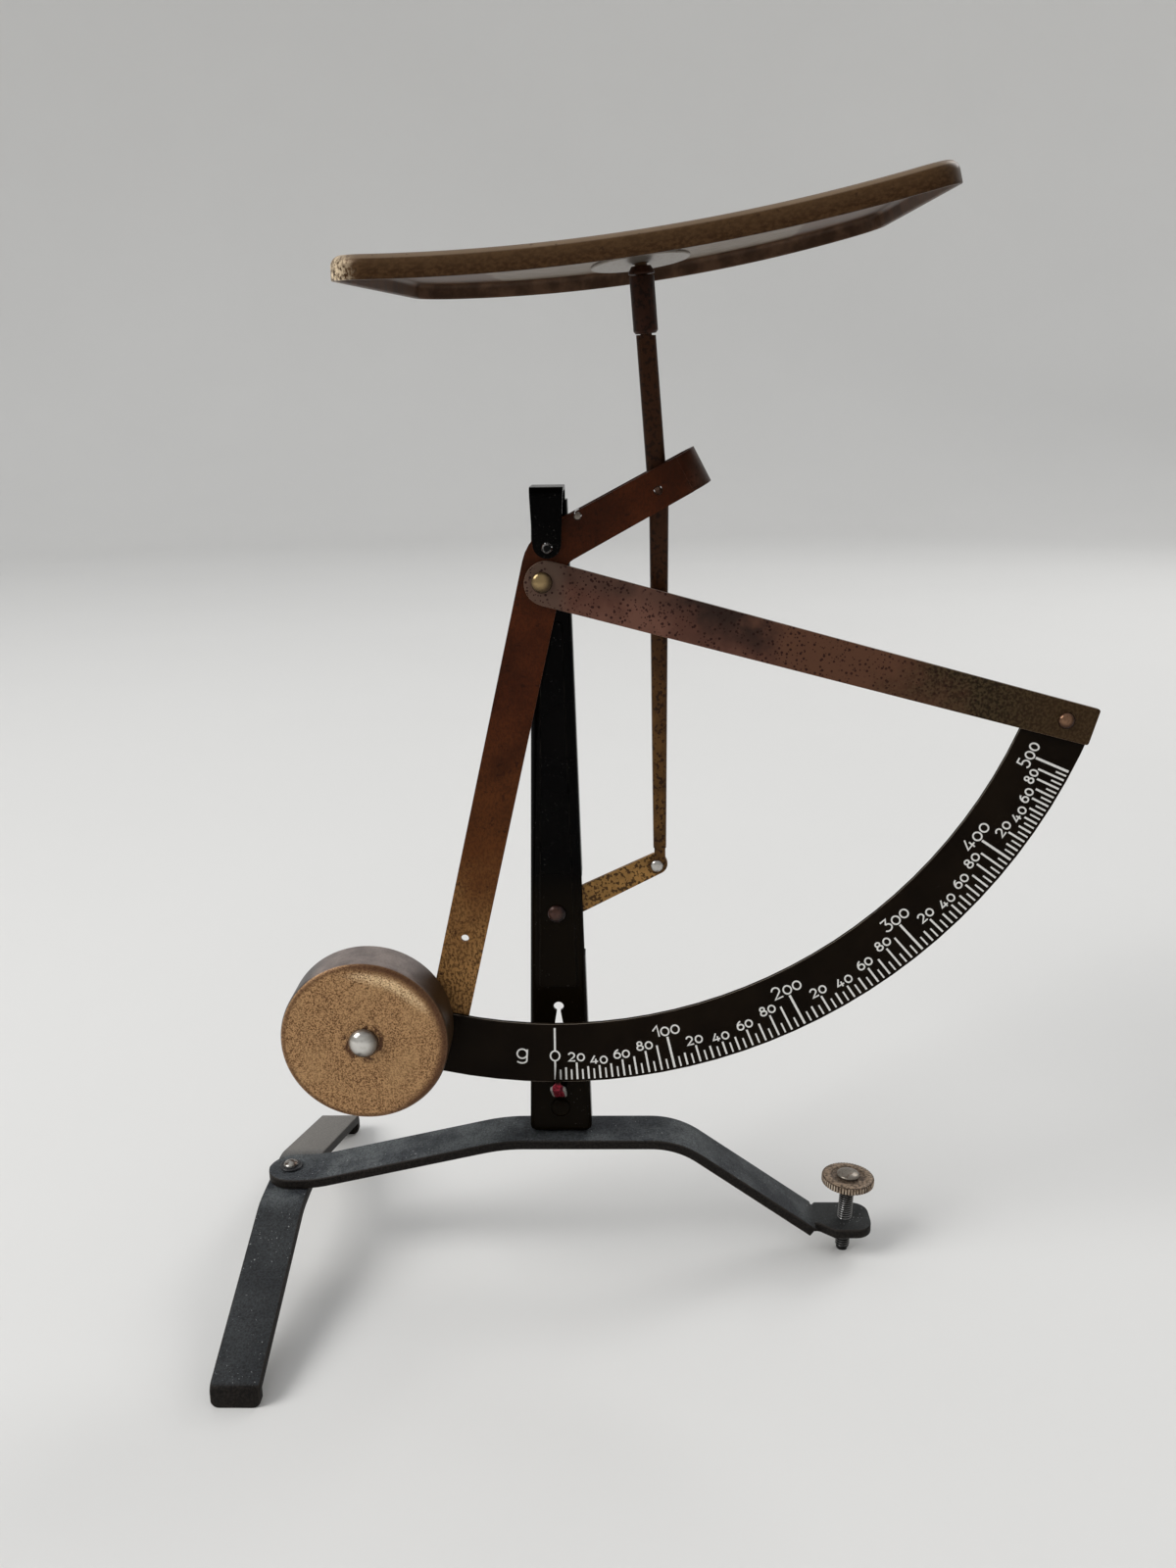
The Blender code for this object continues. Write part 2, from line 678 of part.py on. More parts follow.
def drill_down(target, place, radius, lean=0, height=0):
    """A hole along a nearly upright axis, through sheet that lies at the place's height."""
    depth = 2 * (BAR_THICKNESS + CUT_OVERRUN)
    cutter = mesh_object(f"{target.name}_hole", cylinder(radius, depth))
    cutter.location = place + Vector((math.sin(lean), 0, math.cos(lean))) * height
    cutter.rotation_euler = (0, lean, 0)
    add_cutter(cutter)
    combine(target, cutter, "DIFFERENCE")


def cross_foot():
    middle = FOOT_TOP - FOOT_THICKNESS / 2
    toe = FOOT_HALF_LENGTH - FOOT_THICKNESS / 2
    toe_bend = middle - (toe - FOOT_FLAT_HALF) * math.tan(FOOT_SLOPE)
    half_path = [(toe, 0, 0), (toe, toe_bend, FOOT_TOE_RADIUS), (FOOT_FLAT_HALF, middle, FOOT_BEND_RADIUS)]
    corners = [(-y, z, r) for y, z, r in half_path] + half_path[::-1]
    flat = rounded_line(corners, closed=False)
    line = [Vector((FOOT_X, BAR_MIDDLE_Y + p.x, p.y)) for p in flat]
    _, along = resampled(line, [])
    ends = end_distances(FOOT_TOE_CORNER)
    points, along = resampled(line, ends + [along[-1] - d for d in ends])
    half = FOOT_WIDTH / 2
    widths = [round_end(min(s, along[-1] - s), FOOT_TOE_CORNER, half) for s in along]
    foot = ribbon("cross_foot", points, widths, Vector((1, 0, 0)), FOOT_THICKNESS, BAR_EDGE_ROUND)
    add_piece(foot, "base_paint", FOOT_EMPTY)
    drill_down(foot, FOOT_PIVOT - Vector((0, 0, BAR_THICKNESS)), FOOT_RIVET_SHANK + RUN_GAP)


def foot_rivet():
    top = BAR_LEFT_TOP + SEAT_GAP
    rim = top + FOOT_RIVET_COLLAR_HEIGHT
    low = FOOT_TOP - FOOT_THICKNESS - SEAT_GAP
    profile = [
        *dome(FOOT_RIVET_DOME, FOOT_RIVET_DOME_HEIGHT, rim),
        (FOOT_RIVET_COLLAR, rim),
        (FOOT_RIVET_COLLAR, top),
        (FOOT_RIVET_SHANK, top),
        (FOOT_RIVET_SHANK, low),
        (FOOT_RIVET_TAIL, low),
        (FOOT_RIVET_TAIL - FOOT_RIVET_TAIL_HEIGHT, low - FOOT_RIVET_TAIL_HEIGHT),
        (0, low - FOOT_RIVET_TAIL_HEIGHT),
    ]
    add_piece(turned("foot_rivet", profile, (FOOT_X, BAR_MIDDLE_Y, 0)), "bright_steel", ROOT)


def levelling_screw():
    tilt = (0, LEVEL_LEAN, 0)
    head_top = LEVEL_HEAD_BOTTOM + LEVEL_HEAD_THICKNESS
    dome_base = head_top + SEAT_GAP
    neck_base = LEVEL_HEAD_BOTTOM - SEAT_GAP
    stud = [
        *dome(LEVEL_DOME_RADIUS, LEVEL_DOME_HEIGHT, dome_base),
        (LEVEL_NECK_RADIUS, dome_base),
        (LEVEL_NECK_RADIUS, neck_base),
        (LEVEL_STUD_RADIUS, neck_base),
        (LEVEL_STUD_RADIUS, LEVEL_STUD_CHAMFER),
        (LEVEL_TIP_RADIUS, 0),
        (0, 0),
    ]
    add_piece(turned("levelling_stud", stud, LEVEL_FOOT, tilt), "dark_steel", LEVEL_EMPTY)
    bore = LEVEL_NECK_RADIUS + RUN_GAP
    rim = LEVEL_HEAD_RADIUS - LEVEL_HEAD_CHAMFER
    ring_low = head_top - LEVEL_HEAD_RING_DEPTH
    head = [
        (bore, ring_low),
        (LEVEL_HEAD_RING, ring_low),
        (LEVEL_HEAD_RING + LEVEL_HEAD_RING_DEPTH, head_top),
        (rim, head_top),
        (LEVEL_HEAD_RADIUS, head_top - LEVEL_HEAD_CHAMFER),
        (LEVEL_HEAD_RADIUS, LEVEL_HEAD_BOTTOM + LEVEL_HEAD_CHAMFER),
        (rim, LEVEL_HEAD_BOTTOM),
        (bore, LEVEL_HEAD_BOTTOM),
    ]
    knob = turned("levelling_head", head, LEVEL_FOOT, tilt, WIDE_TURNED_SIDES, closed=True)
    add_piece(knob, "speckled_brass", LEVEL_EMPTY)


# Post


def post_half_width(z):
    share = (z - POST_FOOT) / (POST_CHANNEL_TOP - POST_FOOT)
    return POST_FOOT_HALF_WIDTH + share * (POST_TOP_HALF_WIDTH - POST_FOOT_HALF_WIDTH)


def post_flange_depth(z):
    share = (z - POST_FOOT) / (POST_CHANNEL_TOP - POST_FOOT)
    return POST_FLANGE_FOOT_DEPTH + share * (POST_FLANGE_TOP_DEPTH - POST_FLANGE_FOOT_DEPTH)


def channel_section(x, y, z, half, depth, sheet, bend):
    """One level section of a channel whose web faces the reader, y being the web's front."""
    inner = bend - sheet
    steps = 3
    turns = [math.pi / 2 * k / steps for k in range(steps + 1)]
    right = [(half - bend + bend * math.sin(a), bend - bend * math.cos(a)) for a in turns]
    right += [(half, depth), (half - sheet, depth)]
    right += [(half - bend + inner * math.sin(a), bend - inner * math.cos(a)) for a in turns[::-1]]
    left = [(-px, py) for px, py in right[::-1]]
    return [Vector((x + px, y + py, z)) for px, py in right + left]


def post_channel():
    heights = [POST_FOOT + POST_BEND_RADIUS * share for share in POST_FOOT_RING_SHARES]
    rings = []
    for z in [*heights, POST_CHANNEL_TOP]:
        rise = min(z - POST_FOOT, POST_BEND_RADIUS)
        turn_in = POST_BEND_RADIUS - math.sqrt(POST_BEND_RADIUS**2 - (POST_BEND_RADIUS - rise) ** 2)
        half = post_half_width(z) - turn_in
        depth = post_flange_depth(z) - turn_in
        rings.append(channel_section(0, turn_in, z, half, depth, POST_SHEET, POST_BEND_RADIUS))
    return loft("post", rings)


def post_fold():
    """The web's top, folded forward over the lever, and the tongue that holds the fulcrum pin."""
    web = POST_SHEET / 2
    tongue = TONGUE_FRONT + POST_SHEET / 2
    top = POST_TOP - web
    root = POST_CHANNEL_TOP - TONGUE_ROOT
    end = FULCRUM_HEIGHT - TONGUE_END_BELOW_PIVOT
    corners = [
        (web, root, 0),
        (web, top, TONGUE_BEND_RADIUS),
        (tongue, top, TONGUE_BEND_RADIUS),
        (tongue, end, 0),
    ]
    line = [Vector((0, p.x, p.y)) for p in rounded_line(corners, closed=False)]
    _, along = resampled(line, [])
    ends = [along[-1] - d for d in end_distances(TONGUE_END_HALF_WIDTH)]
    points, along = resampled(line, [TONGUE_ROOT, TONGUE_ROOT + FUSE_STEP, *ends])
    drop = top - end
    widths = []
    for s in along:
        left = along[-1] - s
        taper = min(1, left / drop)
        half = TONGUE_END_HALF_WIDTH + taper * (TONGUE_HALF_WIDTH - TONGUE_END_HALF_WIDTH)
        half = min(half, round_end(left + FUSE_STEP, TONGUE_END_HALF_WIDTH, half))
        widths.append(POST_TOP_HALF_WIDTH - POST_BEND_RADIUS if s <= TONGUE_ROOT else half)
    sheet = POST_SHEET - 2 * FUSE_STEP
    return add_cutter(ribbon("post_fold", points, widths, Vector((1, 0, 0)), sheet))


def post_pointer():
    """The pointer, bent forward out of the slot and up in front of the dial's edge."""
    needle = DIAL_FRONT - POINTER_CLEARANCE - POINTER_SHEET / 2
    root = SLOT_FOOT - POST_SHEET / 2
    bend = DIAL_EDGE_HEIGHT - POINTER_BEND_BELOW_DIAL
    corners = [
        (POST_SHEET / 2, root, 0),
        (needle, bend, POINTER_BEND_RADIUS),
        (needle, DIAL_EDGE_HEIGHT + POINTER_TIP_ABOVE_EDGE, 0),
    ]
    line = [Vector((0, p.x, p.y)) for p in rounded_line(corners, closed=False)]
    slant = math.hypot(needle - POST_SHEET / 2, bend - root)
    places = [
        (0, POINTER_ROOT_HALF_WIDTH),
        (slant / 3, POINTER_HALF_WIDTH),
        (slant, POINTER_HALF_WIDTH),
        (slant + POINTER_SHOULDER, POINTER_NEEDLE_HALF_WIDTH),
    ]
    points, along = resampled(line, [s for s, _ in places])
    places.append((along[-1], POINTER_TIP_HALF_WIDTH))
    widths = np.interp(along, *zip(*places))
    return add_cutter(ribbon("post_pointer", points, widths, Vector((1, 0, 0)), POINTER_SHEET))


def panel_outline(shrink, z_shrink):
    low, high = PANEL_BOTTOM, PANEL_TOP
    low_half, high_half = [post_half_width(z) - POST_BEND_RADIUS - PANEL_MARGIN / 2 for z in (low, high)]
    corners = [
        (-low_half + shrink, low + z_shrink, PANEL_CORNER),
        (low_half - shrink, low + z_shrink, PANEL_CORNER),
        (high_half - shrink, high - z_shrink, PANEL_CORNER),
        (-high_half + shrink, high - z_shrink, PANEL_CORNER),
    ]
    return rounded_line(corners)


def panel_block(name, base, crest):
    """The pressing's shape, wide at its base plane and narrower at its crest."""
    rings = []
    for y, shrink in ((base, 0), (crest, PANEL_DRAFT)):
        rings.append([Vector((p.x, y, p.y)) for p in panel_outline(shrink, shrink)])
    return add_cutter(loft(name, rings))


def slot_cutter():
    corners = [
        (SLOT_TOP_HALF_WIDTH, SLOT_TOP + SIGHT_HOLE_RADIUS / 2, 0),
        (SLOT_TOP_HALF_WIDTH, SLOT_TOP, 0),
        (SLOT_HALF_WIDTH, SLOT_SHOULDER, 0),
        (SLOT_HALF_WIDTH, SLOT_FOOT_SHOULDER, 0),
        (SLOT_FOOT_HALF_WIDTH, SLOT_FOOT + SEAT_GAP, 0),
    ]
    outline = rounded_line(corners + [(-x, z, r) for x, z, r in corners[::-1]])
    depth = POST_SHEET + 2 * CUT_OVERRUN
    return add_cutter(plate("post_slot", [outline], (0, POST_SHEET + CUT_OVERRUN, 0), depth))


def link_window():
    """The opening in the right flange through which the lower link swings."""
    half = LINK_PIVOT_RADIUS + SEAT_GAP
    wall = post_half_width(LINK_PIVOT_HEIGHT)
    reach = wall + CUT_OVERRUN
    up = ROD_ARM_ANGLE + LEVER_UP_SWING
    down = LEVER_DOWN_SWING - ROD_ARM_ANGLE
    high = LINK_PIVOT_HEIGHT + reach * math.tan(up) + half / math.cos(up)
    low = LINK_PIVOT_HEIGHT - reach * math.tan(down) - half / math.cos(down)
    start = POST_BEND_RADIUS - SEAT_GAP
    end = POST_FLANGE_FOOT_DEPTH + CUT_OVERRUN
    cutter = box_cutter("link_window", (wall / 2, start, low), (reach, end, high))
    bevel = cutter.modifiers.new("corners", "BEVEL")
    bevel.width = WINDOW_CORNER / 2
    bevel.segments = 2
    return cutter


def post():
    web = add_piece(post_channel(), "black_lacquer", ROOT)
    combine(web, post_fold(), "UNION")
    combine(web, panel_block("post_panel", POST_SHEET / 2, -PANEL_RAISE), "UNION")
    hollow = panel_block("post_panel_back", POST_SHEET + CUT_OVERRUN, POST_SHEET - PANEL_RAISE)
    combine(web, hollow, "DIFFERENCE")
    combine(web, slot_cutter(), "DIFFERENCE")
    combine(web, post_pointer(), "UNION")
    combine(web, link_window(), "DIFFERENCE")
    reach = POST_SHEET + CUT_OVERRUN
    drill([web], 0, SIGHT_HOLE_HEIGHT, SIGHT_HOLE_RADIUS, reach, -reach)
    drill([web], 0, BRACKET_RIVET_HEIGHT, BRACKET_RIVET_SHANK + RUN_GAP, reach / 2, -reach)
    drill([web], 0, LINK_PIVOT_HEIGHT, LINK_RIVET_SHANK + RUN_GAP, reach, -reach)
    return web


def bracket_foot_rivet_y():
    return post_flange_depth(POST_FOOT) - BRACKET_FOOT_RIVET_INSET


def bracket_pieces():
    """The angle stands against the web above the turned-in foot of the post."""
    back = POST_SHEET + SEAT_GAP + BRACKET_SHEET / 2
    low = POST_FOOT + POST_BEND_RADIUS + SEAT_GAP
    step = back + POST_BEND_RADIUS
    flat = BAR_TOP + SEAT_GAP + BRACKET_SHEET / 2
    corners = [
        (back, flat + BRACKET_HEIGHT, 0),
        (back, low + POST_BEND_RADIUS, BRACKET_BEND_RADIUS),
        (step, low, BRACKET_BEND_RADIUS / 2),
        (step, flat, BRACKET_BEND_RADIUS),
        (post_flange_depth(POST_FOOT) + BRACKET_SHEET, flat, 0),
    ]
    points = [Vector((0, p.x, p.y)) for p in rounded_line(corners, closed=False)]
    widths = [BRACKET_HALF_WIDTH] * len(points)
    angle = ribbon("post_bracket", points, widths, Vector((1, 0, 0)), BRACKET_SHEET)
    add_piece(angle, "black_lacquer", ROOT)
    reach = POST_SHEET + BRACKET_SHEET + CUT_OVERRUN
    drill([angle], 0, BRACKET_RIVET_HEIGHT, BRACKET_RIVET_SHANK + RUN_GAP, 0, -reach)
    profile = rivet_profile(
        BRACKET_RIVET_SHANK,
        BRACKET_RIVET_HEAD,
        BRACKET_RIVET_HEAD_HEIGHT,
        0,
        BRACKET_RIVET_HEAD,
        BRACKET_RIVET_HEAD_HEIGHT / 2,
        -(back + BRACKET_SHEET / 2),
    )
    rivet = front_turned("post_bracket_rivet", profile, 0, BRACKET_RIVET_HEIGHT)
    add_piece(rivet, "black_lacquer", ROOT)
    for side, word in ((-1, "left"), (1, "right")):
        place = Vector((side * BRACKET_FOOT_RIVET_X, bracket_foot_rivet_y(), BAR_TOP))
        drill_down(angle, place, BRACKET_FOOT_RIVET_SHANK + RUN_GAP)
        bracket_foot_rivet(f"bracket_foot_rivet_{word}", place, flat + BRACKET_SHEET / 2)


def bracket_foot_rivet(name, place, top):
    high = top + SEAT_GAP
    low = BAR_TOP - BAR_THICKNESS - SEAT_GAP
    profile = [
        *dome(BRACKET_FOOT_RIVET_HEAD, BRACKET_FOOT_RIVET_HEIGHT, high, 3),
        (BRACKET_FOOT_RIVET_SHANK, high),
        (BRACKET_FOOT_RIVET_SHANK, low),
        (BRACKET_FOOT_RIVET_HEAD, low),
        (BRACKET_FOOT_RIVET_SHANK, low - BRACKET_FOOT_RIVET_HEIGHT),
        (0, low - BRACKET_FOOT_RIVET_HEIGHT),
    ]
    add_piece(turned(name, profile, (place.x, place.y, 0)), "bright_steel", ROOT)


# Lever and dial


def fork_way():
    return Vector((math.cos(FORK_ANGLE), math.sin(FORK_ANGLE)))


def long_way():
    return Vector((-math.sin(LONG_ARM_ANGLE), -math.cos(LONG_ARM_ANGLE)))


def left_of(way):
    return Vector((-way.y, way.x))


def dial_point(angle, radius):
    """A point of the dial, in the lever's plane, at an angle from straight down."""
    return Vector((radius * math.sin(angle), -radius * math.cos(angle)))


def long_arm_rivet():
    """Where the long arm's middle line crosses the dial's."""
    return long_way() * DIAL_MIDDLE_RADIUS


def lever_outline(straight):
    """The front plate: fork arm and long arm meet in a rounded elbow at the fulcrum."""
    up, down = fork_way(), long_way()
    up_side, down_side = left_of(up), left_of(down)
    fork_root = -up_side * FORK_ARM_OFFSET
    fork_end = fork_root + up * straight
    spread = (FORK_ROOT_HALF_WIDTH - FORK_END_HALF_WIDTH) / straight
    upper = (up + up_side * -spread).normalized()
    lower = (up + up_side * spread).normalized()
    top = fork_end + up_side * FORK_END_HALF_WIDTH
    bottom = fork_end - up_side * FORK_END_HALF_WIDTH
    left_edge = -down_side * LONG_ARM_HALF_WIDTH
    right_edge = down_side * LONG_ARM_HALF_WIDTH
    elbow = crossing(top, upper, left_edge, down)
    crotch = crossing(bottom, lower, right_edge, down)
    length = long_arm_rivet().length + LONG_ARM_HALF_WIDTH
    return rounded_line(
        [
            (*top, 0),
            (*elbow, ELBOW_RADIUS),
            (*(left_edge + down * length), LONG_ARM_END_ROUND),
            (*(right_edge + down * length), LONG_ARM_END_ROUND),
            (*crotch, CROTCH_RADIUS),
            (*bottom, 0),
        ]
    )


def lever_fork(straight):
    """The strip that turns round the fork end and comes back behind the rod to the fulcrum."""
    front = LEVER_FRONT + LEVER_SHEET / 2
    rear = LEVER_REAR_BACK - LEVER_SHEET / 2
    radius = (rear - front) / 2
    overlap = LEVER_SHEET * 2
    turns = [math.pi * k / 12 for k in range(13)]
    path = [(straight - overlap, front)]
    path += [(straight + radius * math.sin(a), front + radius * (1 - math.cos(a))) for a in turns]
    path.append((-FORK_EAR_RADIUS, rear))
    up, side = fork_way(), left_of(fork_way())
    fork_root = FULCRUM.xz - side * FORK_ARM_OFFSET
    line = []
    for reach, y in path:
        place = fork_root + up * reach
        line.append(Vector((place.x, y, place.y)))
    _, along = resampled(line, [])
    ends = [along[-1] - d for d in end_distances(FORK_EAR_RADIUS)]
    points, along = resampled(line, ends)
    root_end = FORK_EAR_RADIUS / along[-1]
    widths = []
    for s in along:
        left = along[-1] - s
        share = min(1, left / (straight + FORK_EAR_RADIUS))
        half = FORK_EAR_RADIUS + share * (FORK_END_HALF_WIDTH - FORK_EAR_RADIUS)
        widths.append(round_end(left + FUSE_STEP * root_end, half, half) - FUSE_STEP)
    across = Vector((side.x, 0, side.y))
    return add_cutter(ribbon("lever_fork", points, widths, across, LEVER_SHEET - 2 * FUSE_STEP))


def lever():
    outer = (FORK_GAP + 2 * LEVER_SHEET) / 2
    straight = FORK_REACH - outer
    tuning = long_way() * LEVER_TUNING_HOLE_REACH
    loops = [
        lever_outline(straight),
        circle(long_arm_rivet(), DIAL_RIVET_SHANK + RUN_GAP),
        circle((ARM_INNER_RIVET_X, -ARM_INNER_RIVET_BELOW), ARM_RIVET_SHANK + RUN_GAP),
        circle(tuning, LEVER_TUNING_HOLE_RADIUS),
    ]
    place = (FULCRUM.x, LEVER_FRONT_BACK, FULCRUM.z)
    piece = add_piece(plate("lever", loops, place, LEVER_SHEET), "brown_lacquer", LEVER_EMPTY)
    combine(piece, lever_fork(straight), "UNION")
    front = -LEVER_FRONT + CUT_OVERRUN
    spacer = spacer_place()
    drill([piece], FORK_PIN.x, FORK_PIN.z, FORK_PIN_RADIUS + RUN_GAP, front, 0)
    drill([piece], spacer.x, spacer.y, SPACER_RADIUS + RUN_GAP, front, 0)
    return piece


def spacer_place():
    side = left_of(fork_way())
    rise = FORK_ROOT_HALF_WIDTH - FORK_ARM_OFFSET - SPACER_BELOW_EDGE - SPACER_RADIUS
    return FULCRUM.xz + fork_way() * SPACER_REACH + side * rise


def through_pin(name, place, radius, front, back, proud):
    """A plain pin with slightly rounded ends that stand proud of both faces."""
    low = -back - proud
    profile = [
        *dome(radius, proud / 2, -front + proud / 2, 3),
        (radius, low + proud / 2),
        (radius - proud / 2, low),
        (0, low),
    ]
    return front_turned(name, profile, *place)


def lever_pins():
    spacer = through_pin(
        "fork_spacer", spacer_place(), SPACER_RADIUS, LEVER_FRONT, LEVER_REAR_BACK, FORK_PIN_PROUD
    )
    add_piece(spacer, "bright_steel", LEVER_EMPTY)
    pin = through_pin(
        "fork_pin", FORK_PIN.xz, FORK_PIN_RADIUS, LEVER_FRONT, LEVER_REAR_BACK, FORK_PIN_PROUD
    )
    add_piece(pin, "dark_steel", LEVER_EMPTY)


def fulcrum_pin(web, plates):
    """One pin through the tongue, both plates of the lever and the post's web."""
    reach = -TONGUE_FRONT + CUT_OVERRUN
    drill([web, plates], FULCRUM.x, FULCRUM.z, FULCRUM_PIN_RADIUS + RUN_GAP, reach, -CUT_OVERRUN)
    pin = through_pin(
        "fulcrum_pin", FULCRUM.xz, FULCRUM_PIN_RADIUS, TONGUE_FRONT, POST_SHEET, FULCRUM_PIN_HEAD_HEIGHT
    )
    add_piece(pin, "bright_steel", ROOT)


def arm_way():
    return Vector((math.cos(ARM_ANGLE), math.sin(ARM_ANGLE)))


def arm_outer_rivet():
    """Where the arm's middle line meets a circle just outside the dial's middle line."""
    inner = Vector((ARM_INNER_RIVET_X, -ARM_INNER_RIVET_BELOW))
    radius = DIAL_MIDDLE_RADIUS + ARM_OUTER_RIVET_OUTWARD
    along = inner.dot(arm_way())
    return inner + arm_way() * (math.sqrt(along**2 + radius**2 - inner.length_squared) - along)


def scale_arm():
    """The tapered arm from the fulcrum to the dial's right end."""
    rivet = Vector((ARM_INNER_RIVET_X, -ARM_INNER_RIVET_BELOW))
    way, side = arm_way(), left_of(arm_way())
    inner = rivet + way * ARM_INNER_END_SHIFT
    end = arm_outer_rivet() + way * ARM_OUTER_RIVET_INSET
    slope = math.asin((ARM_INNER_RADIUS - ARM_END_HALF_WIDTH) / (end - inner).length)
    start = ARM_ANGLE + math.pi / 2 - slope
    outline = arc(inner, ARM_INNER_RADIUS, start, start + math.pi + 2 * slope)
    outline += rounded_line(
        [
            (*inner, 0),
            (*(end - side * ARM_END_HALF_WIDTH), ARM_END_CORNER),
            (*(end + side * ARM_END_HALF_WIDTH), ARM_END_CORNER),
            (*inner, 0),
        ],
        closed=False,
    )[1:-1]
    hole = ARM_RIVET_SHANK + RUN_GAP
    loops = [outline, circle(rivet, hole), circle(arm_outer_rivet(), hole)]
    arm = plate("scale_arm", loops, (FULCRUM.x, ARM_INNER_BACK, FULCRUM.z), ARM_SHEET)
    step = (ARM_INNER_BACK - ARM_OUTER_BACK) / arm_outer_rivet().x
    for vertex in arm.data.vertices:
        vertex.co.z += max(0, vertex.co.x) * step
    add_piece(arm, "brown_lacquer", LEVER_EMPTY)


def scale_arm_rivets():
    inner = rivet_profile(
        ARM_RIVET_SHANK,
        ARM_INNER_RIVET_HEAD,
        ARM_RIVET_HEAD_HEIGHT,
        -ARM_INNER_FRONT,
        ARM_INNER_RIVET_HEAD,
        ARM_RIVET_TAIL_HEIGHT,
        -LEVER_FRONT_BACK,
    )
    x, z = FULCRUM.x + ARM_INNER_RIVET_X, FULCRUM.z - ARM_INNER_RIVET_BELOW
    add_piece(front_turned("scale_arm_inner_rivet", inner, x, z), "brass", LEVER_EMPTY)
    outer = rivet_profile(
        ARM_RIVET_SHANK,
        ARM_OUTER_RIVET_HEAD,
        ARM_RIVET_HEAD_HEIGHT,
        -ARM_OUTER_BACK + ARM_SHEET,
        ARM_OUTER_RIVET_HEAD,
        ARM_RIVET_TAIL_HEIGHT,
        -DIAL_BACK,
    )
    place = FULCRUM.xz + arm_outer_rivet()
    add_piece(front_turned("scale_arm_outer_rivet", outer, *place), "brass", LEVER_EMPTY)


def scale_quadrant():
    """The dial: a ring sector round the fulcrum with a round end behind the counterweight."""
    quarter = math.pi / 2
    step = math.radians(3)
    end = dial_point(DIAL_LEFT_ANGLE, DIAL_MIDDLE_RADIUS)
    half = DIAL_BAND_WIDTH / 2
    right, left = DIAL_RIGHT_ANGLE - quarter, DIAL_LEFT_ANGLE - quarter
    outline = arc((0, 0), DIAL_OUTER_RADIUS, right, left, step)
    outline += arc(end, half, left, left - math.pi)[1:-1]
    outline += arc((0, 0), DIAL_INNER_RADIUS, left, right, step)
    loops = [
        outline,
        circle(end, WEIGHT_RIVET_SHANK + RUN_GAP),
        circle(long_arm_rivet(), DIAL_RIVET_SHANK + RUN_GAP),
        circle(arm_outer_rivet(), ARM_RIVET_SHANK + RUN_GAP),
    ]
    dial = plate("scale_quadrant", loops, (FULCRUM.x, DIAL_BACK, FULCRUM.z), DIAL_SHEET)
    add_piece(dial, "dial_black", LEVER_EMPTY)
    tail = -LEVER_FRONT_BACK - SEAT_GAP
    profile = [
        (0, -DIAL_FRONT),
        (DIAL_RIVET_SHANK, -DIAL_FRONT),
        (DIAL_RIVET_SHANK, tail),
        (DIAL_RIVET_HEAD, tail),
        (DIAL_RIVET_SHANK, tail - DIAL_RIVET_HEAD_HEIGHT),
        (0, tail - DIAL_RIVET_HEAD_HEIGHT),
    ]
    place = FULCRUM.xz + long_arm_rivet()
    add_piece(front_turned("quadrant_lever_rivet", profile, *place), "bright_steel", LEVER_EMPTY)


def counterweight():
    """A pressed shell over a solid core, riveted to the dial's left end."""
    x, z = FULCRUM.xz + dial_point(DIAL_LEFT_ANGLE, DIAL_MIDDLE_RADIUS)
    back = -WEIGHT_BACK
    face = back + WEIGHT_THICKNESS
    inner = WEIGHT_RADIUS - WEIGHT_SHELL
    bore = WEIGHT_RIVET_SHANK + RUN_GAP
    edge = WEIGHT_EDGE_ROUND
    turns = [math.pi / 2 * k / 4 for k in range(5)]
    rim = [
        (WEIGHT_RADIUS - edge + edge * math.sin(a), face - edge + edge * math.cos(a)) for a in turns
    ]
    shell = [
        (bore, face),
        *rim,
        (WEIGHT_RADIUS, back),
        (inner, back),
        (inner, face - edge),
        (WEIGHT_RADIUS - edge, face - WEIGHT_SHELL),
        (bore, face - WEIGHT_SHELL),
    ]
    cup = front_turned("counterweight_shell", shell, x, z, WIDE_TURNED_SIDES, closed=True)
    add_piece(cup, "speckled_brass", LEVER_EMPTY)
    radius = inner - SEAT_GAP
    top = face - WEIGHT_SHELL - SEAT_GAP
    low = top - WEIGHT_CORE_THICKNESS
    slope = edge - WEIGHT_SHELL + SEAT_GAP
    core = [(bore, top), (radius - slope, top), (radius, top - slope), (radius, low), (bore, low)]
    plug = front_turned("counterweight_core", core, x, z, WIDE_TURNED_SIDES, closed=True)
    add_piece(plug, "lead_grey", LEVER_EMPTY)
    profile = rivet_profile(
        WEIGHT_RIVET_SHANK,
        WEIGHT_RIVET_HEAD,
        WEIGHT_RIVET_HEAD_HEIGHT,
        face,
        WEIGHT_RIVET_TAIL,
        WEIGHT_RIVET_TAIL_HEIGHT,
        -DIAL_BACK,
    )
    add_piece(front_turned("counterweight_rivet", profile, x, z), "bright_steel", LEVER_EMPTY)


# Lower link and rod


